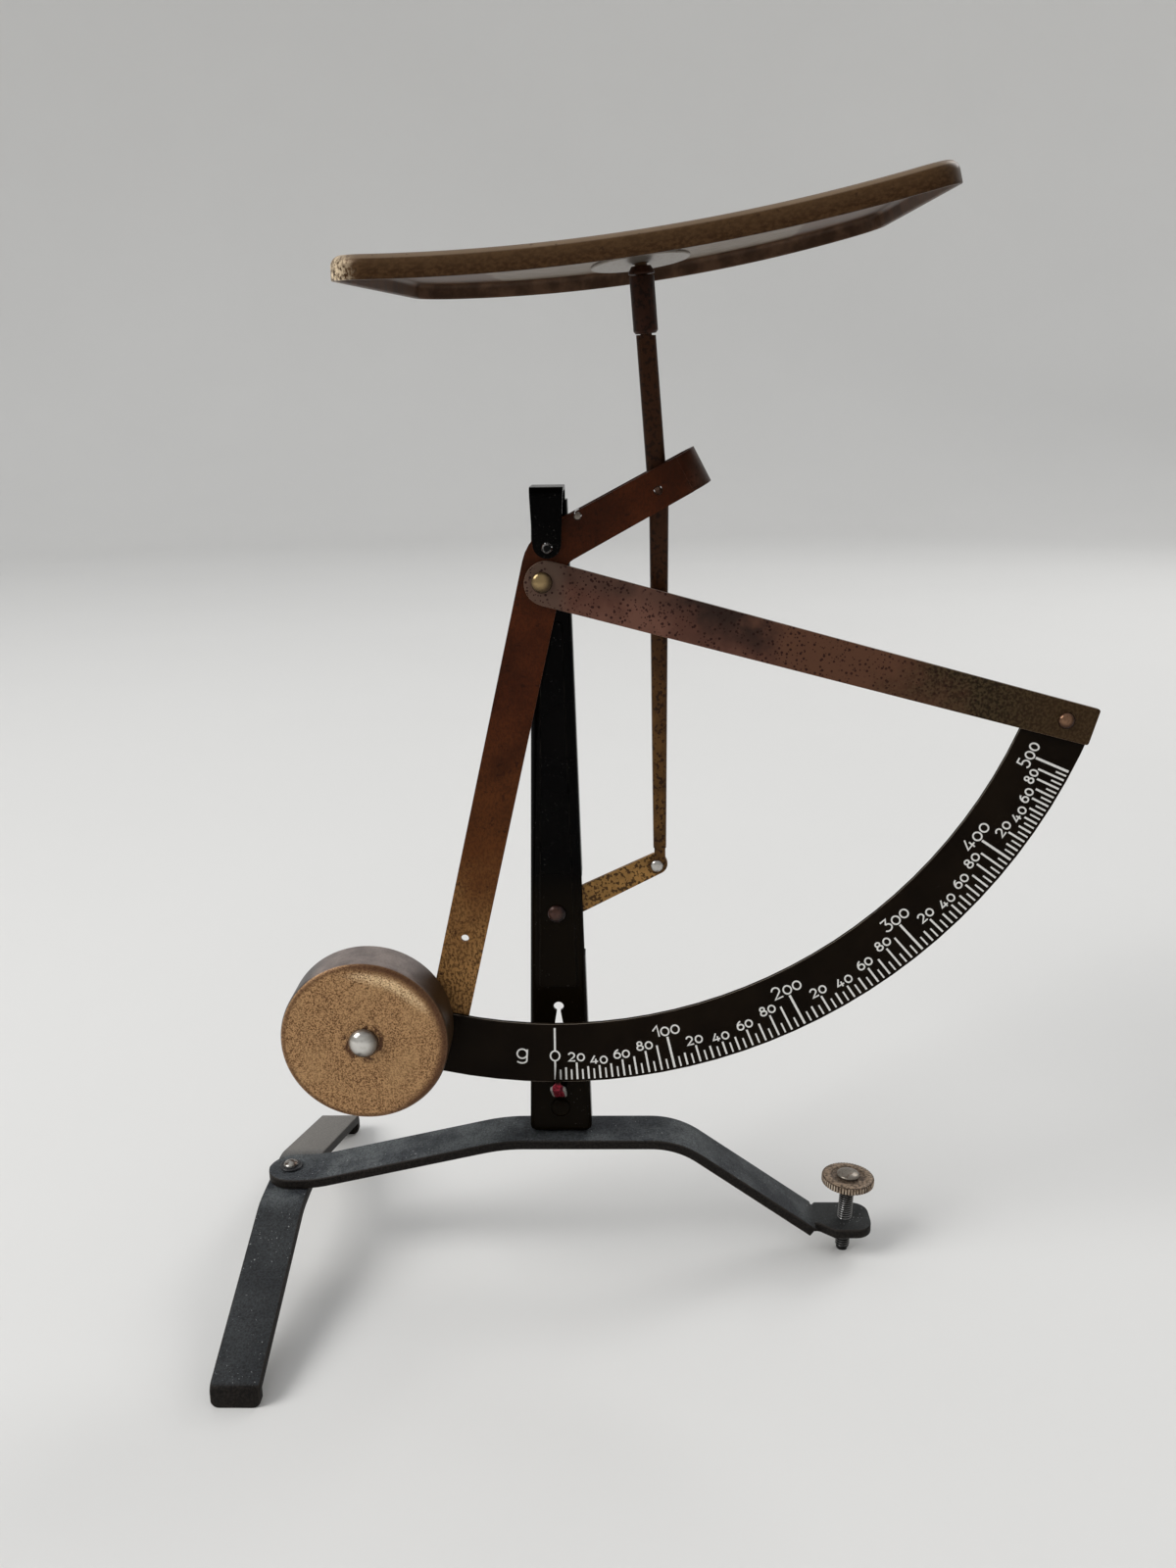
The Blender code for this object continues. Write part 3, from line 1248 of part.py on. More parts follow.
def lower_link():
    """A link like two circles in a belt, from the post's rivet to the rod's foot."""
    end = ROD_OFFSET.xz
    slope = math.asin((LINK_PIVOT_RADIUS - LINK_END_RADIUS) / ROD_ARM)
    quarter = math.pi / 2
    start = ROD_ARM_ANGLE + quarter - slope
    outline = arc((0, 0), LINK_PIVOT_RADIUS, start, start + math.pi + 2 * slope)
    outline += arc(end, LINK_END_RADIUS, start - math.pi + 2 * slope, start)
    loops = [
        outline,
        circle((0, 0), LINK_RIVET_SHANK + RUN_GAP),
        circle(end, LINK_ROD_RIVET_SHANK + RUN_GAP),
    ]
    place = (LINK_PIVOT.x, LINK_BACK, LINK_PIVOT.z)
    add_piece(plate("lower_link", loops, place, LINK_SHEET), "speckled_brass", LINK_EMPTY)
    profile = rivet_profile(
        LINK_RIVET_SHANK,
        LINK_POST_RIVET_HEAD,
        LINK_POST_RIVET_HEIGHT,
        PANEL_RAISE,
        LINK_POST_RIVET_HEAD,
        LINK_POST_RIVET_HEIGHT / 2,
        -LINK_BACK,
    )
    rivet = front_turned("link_post_rivet", profile, LINK_PIVOT.x, LINK_PIVOT.z)
    add_piece(rivet, "speckled_brass", ROOT)


def rod_place(z):
    """The rod's middle and the front of its web at a height. Its upper part leans to the left."""
    rise = z - FORK_PIN.z
    x = FORK_PIN.x - max(rise, -ROD_BEND_BELOW_FORK) * math.tan(STEM_LEAN_LEFT)
    if rise >= 0:
        return x, ROD_FORK_Y - rise * math.tan(STEM_LEAN_FRONT) / math.cos(STEM_LEAN_LEFT)
    low = ROD_FOOT.z
    share = max(0, (FORK_PIN.z - ROD_BEND_BELOW_FORK - z) / (FORK_PIN.z - ROD_BEND_BELOW_FORK - low))
    x += share * (ROD_FOOT.x + ROD_FOOT_SHIFT - x)
    share = (z - low) / (FORK_PIN.z - low)
    return x, ROD_LUG_FRONT + share * (ROD_FORK_Y - ROD_LUG_FRONT)


def sleeve_height(reach):
    """The height of a point this far up the stem from the fork pin."""
    return STEM_START.z + reach * math.cos(STEM_LEAN_LEFT) * math.cos(STEM_LEAN_FRONT)


def rod_channel(top):
    foot = ROD_FOOT.z
    sections = [
        (foot + ROD_CHANNEL_START, ROD_FOOT_HALF_WIDTH, ROD_FOOT_DEPTH),
        (foot + ROD_FULL_DEPTH_START, None, ROD_DEPTH),
        (FORK_PIN.z - ROD_BEND_BELOW_FORK, None, ROD_DEPTH),
        (FORK_PIN.z, ROD_FORK_HALF_WIDTH, ROD_DEPTH),
        (top, ROD_TOP_HALF_WIDTH, ROD_DEPTH),
    ]
    rings = []
    for z, half, depth in sections:
        if half is None:
            share = (z - foot) / (FORK_PIN.z - foot)
            half = ROD_FOOT_HALF_WIDTH + share * (ROD_FORK_HALF_WIDTH - ROD_FOOT_HALF_WIDTH)
        x, y = rod_place(z)
        bend = min(ROD_BEND_RADIUS, depth)
        rings.append(channel_section(x, y, z, half, depth, ROD_SHEET, bend))
    return loft("tray_rod", rings)


def rod_lug():
    """The rod's flat foot, which is riveted to the lower link."""
    low = ROD_FOOT.z - ROD_LUG_RADIUS
    neck = ROD_FOOT.z + ROD_LUG_RADIUS * math.cos(math.asin(ROD_LUG_NECK_HALF_WIDTH / ROD_LUG_RADIUS))
    high = ROD_FOOT.z + ROD_CHANNEL_START + ROD_LUG_ROOT
    heights = [low + d for d in end_distances(ROD_LUG_RADIUS)]
    heights += [2 * ROD_FOOT.z - h for h in heights if 2 * ROD_FOOT.z - h < neck]
    heights = sorted({round(h, 7) for h in [low, *heights, neck, high]})
    points, widths = [], []
    for z in heights:
        x, y = rod_place(z)
        share = min(1, max(0, (z - ROD_FOOT.z) / (neck - ROD_FOOT.z)))
        points.append(Vector((ROD_FOOT.x + share * (x - ROD_FOOT.x), y + ROD_SHEET / 2, z)))
        chord = math.sqrt(max(0, ROD_LUG_RADIUS**2 - (z - ROD_FOOT.z) ** 2))
        least = ROD_LUG_RADIUS / 5 if z < ROD_FOOT.z else ROD_LUG_NECK_HALF_WIDTH
        widths.append(max(least, chord))
    sheet = ROD_SHEET - 2 * FUSE_STEP
    return add_cutter(ribbon("rod_lug", points, widths, Vector((1, 0, 0)), sheet))


def rod_peg(top):
    """The rod's narrowed top, which the tray's sleeve slips over."""
    points = []
    for z in (top - PEG_ROOT, top + PEG_LENGTH):
        x, y = rod_place(z)
        points.append(Vector((x, y + ROD_SHEET / 2, z)))
    widths = [PEG_HALF_WIDTH] * len(points)
    sheet = ROD_SHEET - 2 * FUSE_STEP
    return add_cutter(ribbon("rod_peg", points, widths, Vector((1, 0, 0)), sheet))


def tray_rod():
    top = sleeve_height(SLEEVE_START - SEAT_GAP)
    rod = add_piece(rod_channel(top), "speckled_brass", ROD_EMPTY)
    combine(rod, rod_lug(), "UNION")
    combine(rod, rod_peg(top), "UNION")
    front = -ROD_FORK_Y + CUT_OVERRUN
    drill([rod], FORK_PIN.x, FORK_PIN.z, FORK_PIN_RADIUS + RUN_GAP, front, 0)
    drill([rod], ROD_FOOT.x, ROD_FOOT.z, LINK_ROD_RIVET_SHANK + RUN_GAP, CUT_OVERRUN, -LINK_BACK)
    profile = rivet_profile(
        LINK_ROD_RIVET_SHANK,
        LINK_ROD_RIVET_HEAD,
        LINK_ROD_RIVET_HEIGHT,
        -ROD_LUG_FRONT + ROD_LUG_RADIUS * abs(ROD_FORK_Y) / (FORK_PIN.z - ROD_FOOT.z),
        LINK_ROD_RIVET_HEAD,
        LINK_ROD_RIVET_HEIGHT,
        -LINK_BACK,
    )
    rivet = front_turned("link_rod_rivet", profile, ROD_FOOT.x, ROD_FOOT.z)
    add_piece(rivet, "bright_steel", ROD_EMPTY)


# Stem and tray


def stem_object(obj, reach, finish, turn=(0, 0, 0)):
    """Stand a piece on the stem, this far up from the fork pin, with a turn of its own."""
    place = STEM_EMPTY.matrix_world @ Matrix.Translation((0, 0, reach))
    obj.matrix_world = place @ Euler(turn).to_matrix().to_4x4()
    return add_piece(obj, finish, STEM_EMPTY)


def tray_sleeve():
    length = SLEEVE_END - SLEEVE_START
    profile = [
        (SLEEVE_BORE, length),
        (SLEEVE_RADIUS, length),
        (SLEEVE_RADIUS, SLEEVE_LIP),
        (SLEEVE_RADIUS - SLEEVE_LIP, 0),
        (SLEEVE_BORE, 0),
    ]
    stem_object(turned("tray_sleeve", profile, (0, 0, 0), closed=True), SLEEVE_START, "brown_lacquer")


def collar_start():
    return SLEEVE_END + SEAT_GAP


def boss_start():
    tilt = TRAY_SET_ANGLE + BOSS_LEAN
    return collar_start() + COLLAR_HEIGHT + SEAT_GAP + COLLAR_TOP_RADIUS * math.sin(tilt)


def stem_collar():
    bore = TRAY_RIVET_SHANK + RUN_GAP
    profile = [
        (bore, COLLAR_HEIGHT),
        (COLLAR_TOP_RADIUS, COLLAR_HEIGHT),
        (COLLAR_RADIUS, COLLAR_BAND),
        (COLLAR_RADIUS, 0),
        (bore, 0),
    ]
    stem_object(turned("stem_collar", profile, (0, 0, 0), closed=True), collar_start(), "brown_lacquer")


def tray_boss():
    bore = TRAY_RIVET_SHANK + 2 * RUN_GAP
    turn = (-BOSS_LEAN, -TRAY_SET_ANGLE, TRAY_TURN)
    profile = [
        (bore, BOSS_THICKNESS),
        (BOSS_RADIUS - BOSS_EDGE, BOSS_THICKNESS),
        (BOSS_RADIUS, BOSS_THICKNESS - BOSS_EDGE),
        (BOSS_RADIUS, BOSS_EDGE),
        (BOSS_RADIUS - BOSS_EDGE, 0),
        (bore, 0),
    ]
    disc = turned("tray_boss_disc", profile, (0, 0, 0), sides=WIDE_TURNED_SIDES, closed=True)
    stem_object(disc, boss_start(), "bright_steel", turn)


def tray_loop(offset):
    """A rounded rectangle, this far inside the tray's edge."""
    half_length = TRAY_LENGTH / 2 - TRAY_SHEET / 2 - offset
    half_depth = TRAY_DEPTH / 2 - TRAY_SHEET / 2 - offset
    radius = TRAY_CORNER - TRAY_SHEET / 2 - offset
    points = []
    signs = ((1, -1), (1, 1), (-1, 1), (-1, -1))
    counts = (TRAY_SHORT_STEPS, TRAY_LONG_STEPS) * 2
    ends = [(*sign, steps) for sign, steps in zip(signs, counts)]
    for k, (sx, sy, steps) in enumerate(ends):
        centre = (sx * (half_length - radius), sy * (half_depth - radius))
        start = math.pi / 2 * (k - 1)
        bend = arc(centre, radius, start, start + math.pi / 2, math.pi / 8)
        points += bend
        after = ends[(k + 1) % 4]
        target = Vector((after[0] * (half_length - radius), after[1] * (half_depth - radius)))
        target += bend[-1] - Vector(centre)
        points += [bend[-1].lerp(target, i / steps) for i in range(1, steps)]
    return [point + Vector((TRAY_SHIFT, 0)) for point in points]


def tray_surface(point, depth):
    """A point of the sheet, bent upwards to both ends, and moved down square to the sheet."""
    angle = point.x / TRAY_CURVE_RADIUS
    reach = TRAY_CURVE_RADIUS + depth
    return Vector((reach * math.sin(angle), point.y, TRAY_CURVE_RADIUS - reach * math.cos(angle)))


def tray():
    """A shallow bent sheet with its edge turned down all round."""
    bm = bmesh.new()
    turns = [math.pi / 2 * k / TRAY_BEND_STEPS for k in range(TRAY_BEND_STEPS + 1)]
    loops = [(tray_loop(0), TRAY_FLANGE)]
    for a in turns:
        offset = TRAY_BEND_RADIUS * (1 - math.cos(a))
        loops.append((tray_loop(offset), TRAY_BEND_RADIUS * (1 - math.sin(a))))
    flat = tray_loop(TRAY_BEND_RADIUS)
    loops += [([p * share for p in flat], 0) for share in TRAY_RING_SHARES]
    rows = [[bm.verts.new(tray_surface(p, depth)) for p in loop] for loop, depth in loops]
    for low, high in zip(rows, rows[1:]):
        for i in range(len(low)):
            j = (i + 1) % len(low)
            bm.faces.new((low[i], low[j], high[j], high[i]))
    middle = bm.verts.new((0, 0, 0))
    last = rows[-1]
    for i in range(len(last)):
        bm.faces.new((last[i], last[(i + 1) % len(last)], middle))
    bmesh.ops.recalc_face_normals(bm, faces=bm.faces)
    obj = mesh_object("tray", bm)
    solid = obj.modifiers.new("sheet", "SOLIDIFY")
    solid.thickness = TRAY_SHEET
    solid.offset = 0
    solid.use_even_offset = True
    reach = tray_start()
    stem_object(obj, reach, "tray_bronze", (0, -TRAY_SET_ANGLE, TRAY_TURN))
    depth = 2 * (TRAY_SHEET + CUT_OVERRUN)
    hole = mesh_object("tray_hole", cylinder(TRAY_RIVET_SHANK + 2 * RUN_GAP, depth))
    hole.matrix_world = obj.matrix_world
    add_cutter(hole)
    combine(obj, hole, "DIFFERENCE")


def tray_start():
    """How far up the stem the middle of the tray's sheet lies: the disc's near edge bears on it."""
    rise = BOSS_RADIUS * math.sin(BOSS_LEAN)
    return boss_start() + BOSS_THICKNESS + rise + SEAT_GAP + TRAY_SHEET / 2


def tray_rivet():
    """The rivet through tray, disc and collar, seen as a low head in the middle of the tray."""
    head = tray_start() + TRAY_SHEET / 2 + SEAT_GAP + TRAY_RIVET_HEAD * math.sin(TRAY_SET_ANGLE)
    low = -TRAY_RIVET_LENGTH
    profile = [
        *dome(TRAY_RIVET_HEAD, TRAY_RIVET_HEAD_HEIGHT, 0),
        (TRAY_RIVET_SHANK, 0),
        (TRAY_RIVET_SHANK, low),
        (0, low),
    ]
    stem_object(turned("tray_rivet", profile, (0, 0, 0)), head, "tray_bronze")


def stand_on_origin():
    """Move the scale so that the origin is on the table, under the middle of its box."""
    bpy.context.view_layer.update()
    graph = bpy.context.evaluated_depsgraph_get()
    corners = []
    for obj in PIECES.objects:
        if obj.type != "MESH":
            continue
        seen = obj.evaluated_get(graph)
        mesh = seen.to_mesh()
        points = np.empty(len(mesh.vertices) * 3)
        mesh.vertices.foreach_get("co", points)
        seen.to_mesh_clear()
        world = np.array(seen.matrix_world)
        places = points.reshape(-1, 3) @ world[:3, :3].T + world[:3, 3]
        corners += [places.min(axis=0), places.max(axis=0)]
    low, high = np.min(corners, axis=0), np.max(corners, axis=0)
    ROOT.location = (-(low[0] + high[0]) / 2, -(low[1] + high[1]) / 2, -low[2])
    bpy.context.view_layer.update()


def print_pivots():
    for obj in PIECES.objects:
        if obj.type == "EMPTY":
            place = obj.matrix_world.translation
            axis = obj.matrix_world.to_3x3() @ Vector((0, 0, 1))
            print(obj.name, [round(v, 6) for v in place], "z axis", [round(v, 6) for v in axis])


clear_scene()
PIECES = new_collection("letter_scale")
CUTTERS = new_collection("cutters", hidden=True)
ROOT = pivot_empty("stand_origin", (0, 0, 0))
FOOT_EMPTY = pivot_empty("cross_foot_pivot", FOOT_PIVOT, parent=ROOT)
LEVEL_EMPTY = pivot_empty("levelling_screw_axis", LEVEL_FOOT, (0, LEVEL_LEAN, 0), ROOT)
LEVER_EMPTY = pivot_empty("lever_pivot", FULCRUM, parent=ROOT)
LINK_EMPTY = pivot_empty("lower_link_pivot", LINK_PIVOT, parent=ROOT)
ROD_EMPTY = pivot_empty("rod_pivot", FORK_PIN, parent=LEVER_EMPTY)
STEM_EMPTY = pivot_empty("tray_stem_axis", STEM_START, (STEM_LEAN_FRONT, -STEM_LEAN_LEFT, 0), ROD_EMPTY)
bpy.context.view_layer.update()

base_bar()
cross_foot()
foot_rivet()
levelling_screw()
POST = post()
bracket_pieces()
LEVER = lever()
fulcrum_pin(POST, LEVER)
lever_pins()
scale_arm()
scale_arm_rivets()
scale_quadrant()
counterweight()
lower_link()
tray_rod()
tray_sleeve()
stem_collar()
tray_boss()
tray()
tray_rivet()
stand_on_origin()
print_pivots()
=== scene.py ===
"""Looks of the letter scale: finishes for every piece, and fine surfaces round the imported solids.

Metres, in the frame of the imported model: +Z up, the dial faces -Y. A place "in the lever's
plane" is measured from the fulcrum, to the right and up. Colours are linear. A pair of places
for a finish says where it starts and where it is full, in that order.
"""

import json
import math

import bmesh
import bpy
import numpy as np
from mathutils import Euler, Matrix, Vector


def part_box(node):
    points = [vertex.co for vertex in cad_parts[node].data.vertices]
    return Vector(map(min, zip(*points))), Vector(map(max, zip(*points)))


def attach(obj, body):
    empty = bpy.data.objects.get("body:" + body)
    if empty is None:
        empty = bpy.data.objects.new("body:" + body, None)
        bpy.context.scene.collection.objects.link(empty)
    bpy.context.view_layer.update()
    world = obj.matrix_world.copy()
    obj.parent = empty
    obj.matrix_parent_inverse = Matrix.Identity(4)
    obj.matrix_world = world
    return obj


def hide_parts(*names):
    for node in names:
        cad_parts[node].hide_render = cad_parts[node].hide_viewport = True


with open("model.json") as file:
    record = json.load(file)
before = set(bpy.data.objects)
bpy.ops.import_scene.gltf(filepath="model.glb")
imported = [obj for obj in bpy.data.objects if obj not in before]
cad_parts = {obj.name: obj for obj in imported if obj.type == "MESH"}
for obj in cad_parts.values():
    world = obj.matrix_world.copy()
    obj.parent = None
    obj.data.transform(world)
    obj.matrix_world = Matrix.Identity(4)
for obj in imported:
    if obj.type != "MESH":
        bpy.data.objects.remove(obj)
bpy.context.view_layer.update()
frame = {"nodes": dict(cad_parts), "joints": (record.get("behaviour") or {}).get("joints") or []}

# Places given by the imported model
JOINTS = {joint["name"]: joint for joint in frame["joints"]}
FULCRUM = Vector(JOINTS["lever_pivot"]["pos_m"])
LINK_PIVOT = Vector(JOINTS["lower_link_pivot"]["pos_m"])
STEM_START = Vector(JOINTS["tray_swivel"]["pos_m"])
FOOT_PIVOT = Vector(JOINTS["foot_swivel"]["pos_m"])
SCREW_FOOT = Vector(JOINTS["screw_turn"]["pos_m"])
SCREW_AXIS = Vector(JOINTS["screw_turn"]["axis"])
DIAL_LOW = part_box("scale_quadrant")[0]
DIAL_FRONT = DIAL_LOW.y

# Directions
RIGHTWARDS = (1, 0, 0)
BACKWARDS = (0, 1, 0)
FORWARDS = (0, -1, 0)
UPWARDS = (0, 0, 1)
NEAR_Y = 0.7
QUARTER = math.pi / 2

# Fineness
ROUND_SIDES = 64
ARC_STEP = math.radians(4)
SMOOTH_UNDER = math.radians(35)
FLAT_UNDER = math.radians(0.5)
WELD = 0.000002
POINT_GAP = 0.00002
DOME_STEPS = 12
TINY = 1e-9

# Edges of sheet metal
SHEET_EDGE = 0.00014
EDGE_STEPS = np.radians([0, 30, 60, 90])
EDGE_SHARE = 0.98
FULL_WEIGHT = 100

# Base bar, its heights from the table and its places in the lever's plane
BAR_THICKNESS = 0.0027
BAR_HALF_WIDTH = 0.007
BAR_TOP = 0.03715
BAR_LEFT_TOP = 0.0252
BAR_LUG_TOP = 0.00995
BAR_LEFT_BEND = -0.068
BAR_LEFT_BEND_RADIUS = 0.04
BAR_CROWN_LEFT = -0.0155
BAR_CROWN_LEFT_RADIUS = 0.05
BAR_CROWN_RIGHT = 0.0315
BAR_CROWN_RIGHT_RADIUS = 0.022
BAR_RIGHT_SLOPE = math.radians(35.8)
BAR_LUG_RADIUS = 0.0025
BAR_RIGHT_END = 0.0849
BAR_CORNER = 0.0045
BAR_EDGE = 0.0004
BAR_NARROWEST = 0.00003
BAR_END_STEPS = np.radians(np.arange(0, 91, 5))

# Notches where the lug is bent: places from the bend, and depths
LUG_REAR_NOTCH = ((-0.0009, -0.0008, 0.0004, 0.0014), (0, 0.0011, 0.0011, 0))
LUG_FRONT_NOTCH = ((-0.0009, -0.0008, 0.0010, 0.0019, 0.0054), (0, 0.0030, 0.0034, 0.0030, 0))

# Cross foot
FOOT_HALF_WIDTH = 0.006
FOOT_TOP = 0.0222
FOOT_HALF_LENGTH = 0.065
FOOT_FLAT_HALF = 0.0125
FOOT_SLOPE = math.radians(17.5)
FOOT_BEND_RADIUS = 0.02
TOE_BEND_RADIUS = 0.0014
FOOT_CORNER = 0.0018
FOOT_END_STEPS = np.radians(np.arange(0, 91, 6))

# Rivet of the cross foot: its collar, its dome above that and its tail
COLLAR_RAISE = 0.0003
COLLAR_RADIUS = 0.00305
COLLAR_HEIGHT = 0.0004
COLLAR_UPPER_ROUND = 0.00015
COLLAR_LOWER_ROUND = 0.0001
FOOT_DOME_RADIUS = 0.0021
FOOT_DOME_HEIGHT = 0.0013
FOOT_SHANK = 0.0018
FOOT_TAIL_RADIUS = 0.003
FOOT_TAIL_HEIGHT = 0.0012
FOOT_TAIL_RIM = 0.0009

# Levelling screw, its heights from the tip
SCREW_SIDES = 40
ROWS_PER_TURN = 8
THREAD_START = 0.0007
THREAD_STOP = 0.0003
THREAD_RADIUS = 0.00198
THREAD_DEPTH = 0.00038
THREAD_PITCH = 0.0007
THREAD_STEEPNESS = 1.3
THREAD_CREST = 0.1
THREAD_RUN_IN = 0.0006
TIP_SHARE = 0.86
TIP_RADIUS = 0.0015
CAP_RADIUS = 0.0031
CAP_HEIGHT = 0.001
CAP_RAISE = 0.0003
CAP_SHANK = 0.0015
CAP_SHANK_REACH = 0.0005

# Screw head
HEAD_BOTTOM = 0.0203
HEAD_THICKNESS = 0.0023
HEAD_RADIUS = 0.00715
HEAD_BORE = 0.0017
HEAD_DISH = 0.0044
HEAD_DISH_DEPTH = 0.0003
HEAD_DISH_RIM = 0.0047
HEAD_DISH_ROUND = 0.0001
HEAD_TOP_FLAT = 0.006
HEAD_TOP_DROP = 0.00025
HEAD_TOP_ROUND = 0.0004
HEAD_LOW_RISE = 0.0003
HEAD_LOW_ROUND = 0.0003
HEAD_LOW_FLAT = 0.0064
HEAD_ARC_STEP = math.radians(15)
HEAD_ROWS = np.arange(0, 0.02, 0.0006)
KNURLS = 54
KNURL_SIDES = 6
KNURL_DEPTH = 0.00036
KNURL_SHARPNESS = 0.7
KNURL_START = 0.0061
KNURL_RUN_IN = 0.0009

# Rivets along Y: radius and height of their domes, and how far their tails stand out
RIVET_DOMES = {
    "post_bracket_rivet": (0.0026, 0.0011),
    "link_post_rivet": (0.0024, 0.0013),
    "fulcrum_pin": (0.0011, 0.0003),
    "scale_arm_inner_rivet": (0.0025, 0.0011),
    "scale_arm_outer_rivet": (0.002, 0.0011),
    "fork_pin": (0.00085, 0.00015),
    "fork_spacer": (0.0008, 0.00015),
    "counterweight_rivet": (0.0038, 0.0024),
    "link_rod_rivet": (0.00155, 0.0007),
}
RIVET_TAIL = 0.0005
RIVET_LONG_TAILS = {"counterweight_rivet": 0.0008, "link_rod_rivet": 0.0007}
RIVET_LEAST_GRIP = 0.0005
RIVET_SHANK_SHARE = 0.5
RIVET_RIM_SHARE = 0.97
RIVET_TAIL_SHARE = 0.7
RIVET_RIM = 0.00008
RIVET_SEAT = 0.0001

# Rivets of the post's bracket, through the bar
BRACKET_RIVET_RADIUS = 0.0018
BRACKET_RIVET_HEIGHT = 0.0008
BRACKET_RIVET_SHANK = 0.001
BRACKET_RIVET_SIDES = 32

# Counterweight
WEIGHT_RADIUS = 0.021
WEIGHT_EDGE = 0.0014
WEIGHT_WALL = 0.0008
WEIGHT_BORE = 0.0019
WEIGHT_LIP_ROUND = 0.0002
WEIGHT_INNER_ROUND = 0.0006
WEIGHT_SIDES = 160
WEIGHT_ARC_STEP = math.radians(8)
WEIGHT_ROWS = np.arange(0, 0.019, 0.001)

# Stem, its heights from the fork pin
STEM_LEAN = math.radians(2.2)
STEM_TILT = math.radians(-4.5)
SLEEVE_START = 0.0348
SLEEVE_LENGTH = 0.0124
SLEEVE_BORE = 0.00175
SLEEVE_RADIUS = 0.0028
SLEEVE_TAPER = (0.0023, 0.0006)
CONE_START = 0.0475
CONE_HEIGHT = 0.00175
CONE_BORE = 0.0016
CONE_TOP_RADIUS = 0.0022
CONE_RADIUS = 0.00295
CONE_BAND = 0.0005
DISC_RADIUS = 0.0112
DISC_THICKNESS = 0.0008
DISC_BORE = 0.0018
DISC_ROUND = 0.0003
DISC_SIDES = 96
DISC_LEAN = math.radians(4.5)
STEM_GAP = 0.0003

# Tray
TRAY_LENGTH = 0.1205
TRAY_DEPTH = 0.108
TRAY_CORNER = 0.0078
TRAY_SHEET = 0.001
TRAY_FLANGE = 0.0042
TRAY_BEND = 0.0016
TRAY_CURVE = 0.43
TRAY_SET_ANGLE = math.radians(2.66)
TRAY_TURN = math.radians(-2)
TRAY_SHIFT = 0.0009
TRAY_LIP = 0.0003
TRAY_LIP_STEPS = 3
TRAY_LIP_ANGLE = math.radians(50)
TRAY_SIDE_STEPS = (24, 60)
TRAY_CORNER_STEPS = 17
TRAY_FLANGE_ROWS = 6
TRAY_BEND_ROWS = 9
TRAY_FLAT_SHARES = np.linspace(0.97, 0.05, 26)
TRAY_MIDDLE_EDGE = 0.0008

# Dial print, as radii from the fulcrum
MARK_STEP = 5
MARK_LAST = 500
LABEL_STEP = 20
MARK_HUNDREDS = (-0.26, 12.82, 27.67, 42.50, 55.55, 66.26)  # degrees from straight down
MARK_FOOT = 0.1364
MARK_LENGTHS = {0: 0.0088, 10: 0.0034, 20: 0.0047, 30: 0.0035, 40: 0.0036, 50: 0.0038}
MARK_LENGTHS |= {60: 0.0046, 70: 0.0050, 80: 0.0060, 90: 0.0070}
MARK_FIVE = 0.0028
MARK_WIDTHS = (0.00042, 0.0005, 0.0006)
PRINT_PROUD = 0.00005
PRINT_SUNK = 0.00004
PRINT_LAYER = 0.000004
STROKE = 0.0004
MITRE_LEAST = 0.6
BOW_STEP = 12
BOW_LEAST = 5
LETTER_GAP = 0.00024
DIGIT_NARROW = ((0, 400, 480), (0.9, 0.88, 0.72))
LABEL_GAP = 0.0003
LABEL_SIZES = {False: (0.0027, 0.0023), True: (0.0035, 0.00265)}
ZERO_LINES = ((0.1364, 0.1313), (0.1281, 0.1219))
ZERO_RADIUS = 0.1297
ZERO_RING = (0.00118, 0.00137)
GRAM_SIZE = 0.0043
GRAM_PLACE = (-0.00926, 0.1322)

# Post's finish: how far over the link's pivot its brown foot reaches, a painted reflection of a table; the
# red paint on its pointer, and the painted highlight along the pointer's sides
TABLE_REFLECTION_HEIGHT = 0.014
PAINT_PROUD = (0.0008, 0.0012)
PAINT_OVER_RIVET = 0.0002
PAINT_FADE = 0.0002
PAINT_UNDER_DIAL = (0.0006, -0.0001)
# Where the painted highlight on the pointer's sides starts and is full
POINTER_HIGHLIGHT_SIDE = (0.0013, 0.0015)

# Base's finish: places from the fulcrum and the foot's pivot
LUG_DARK = (0.0665, 0.0705)
FRONT_DARK = (-0.008, -0.018)
REAR_BARE = (0.004, 0.02)
FOOT_SIDE = (0.009, 0.006)
# How level a face is where the painted shade of steep sides starts and is full
SHADED_WALL_STEEPNESS = (0.86, 0.6)

# Lever's finish: places below and right of the fulcrum
LEVER_WARM = (0.035, 0.085)
LEVER_GOLD = (0.075, 0.108)
LEVER_RAGGED = 0.03
FORK_GREY = (0.0315, 0.037)

# Arm's finish: places right of the fulcrum and below the arm's middle line
ARM_FALL = math.tan(math.radians(15.2))
ARM_DROP = 0.0085
ARM_RAGGED = 0.04
ARM_WARM = (0.04, 0.06)
ARM_OLIVE = (0.072, 0.1)
ARM_SHADE = (0.04, 0.018)
ARM_SHADE_DEPTH = (0.001, -0.0035)
ARM_ROUND_END = (0.006, 0.0015)
STAIN_LEFT = (0.026, 0.034)
STAIN_RIGHT = (0.056, 0.042)
STAIN_DEPTH = (0.0105, 0.002)
STAIN_RAGGED = 0.012
ARM_RUST_FADE = (0.06, 0.12)
ARM_DARK_END = (0.1, 0.125)

# Rod's finish: the height over the link's pivot where its dark head starts
ROD_DARK_START = 0.03

# Counterweight's finish: radii, and places right of its middle
# Where the painted highlight arc lies, as radii and as a lit side
HIGHLIGHT_ARC_INSIDE = (0.0145, 0.0168)
HIGHLIGHT_ARC_OUTSIDE = (0.0192, 0.0175)
ARC_LIT = (0.0145, 0.0185)
RIM_BROWN = (0.0178, 0.0196)
RIM_SIDE = (0.002, 0.014)
RIM_RAGGED = 0.01
STEP_INSIDE = (0.0192, 0.0199)
STEP_OUTSIDE = (0.0208, 0.0203)
RIVET_RING = (0.0058, 0.0046)
WALL_START = (0.0004, 0.00015)
WALL_RIGHT = (0.011, 0.0185)
WALL_LEFT = (-0.009, -0.015)

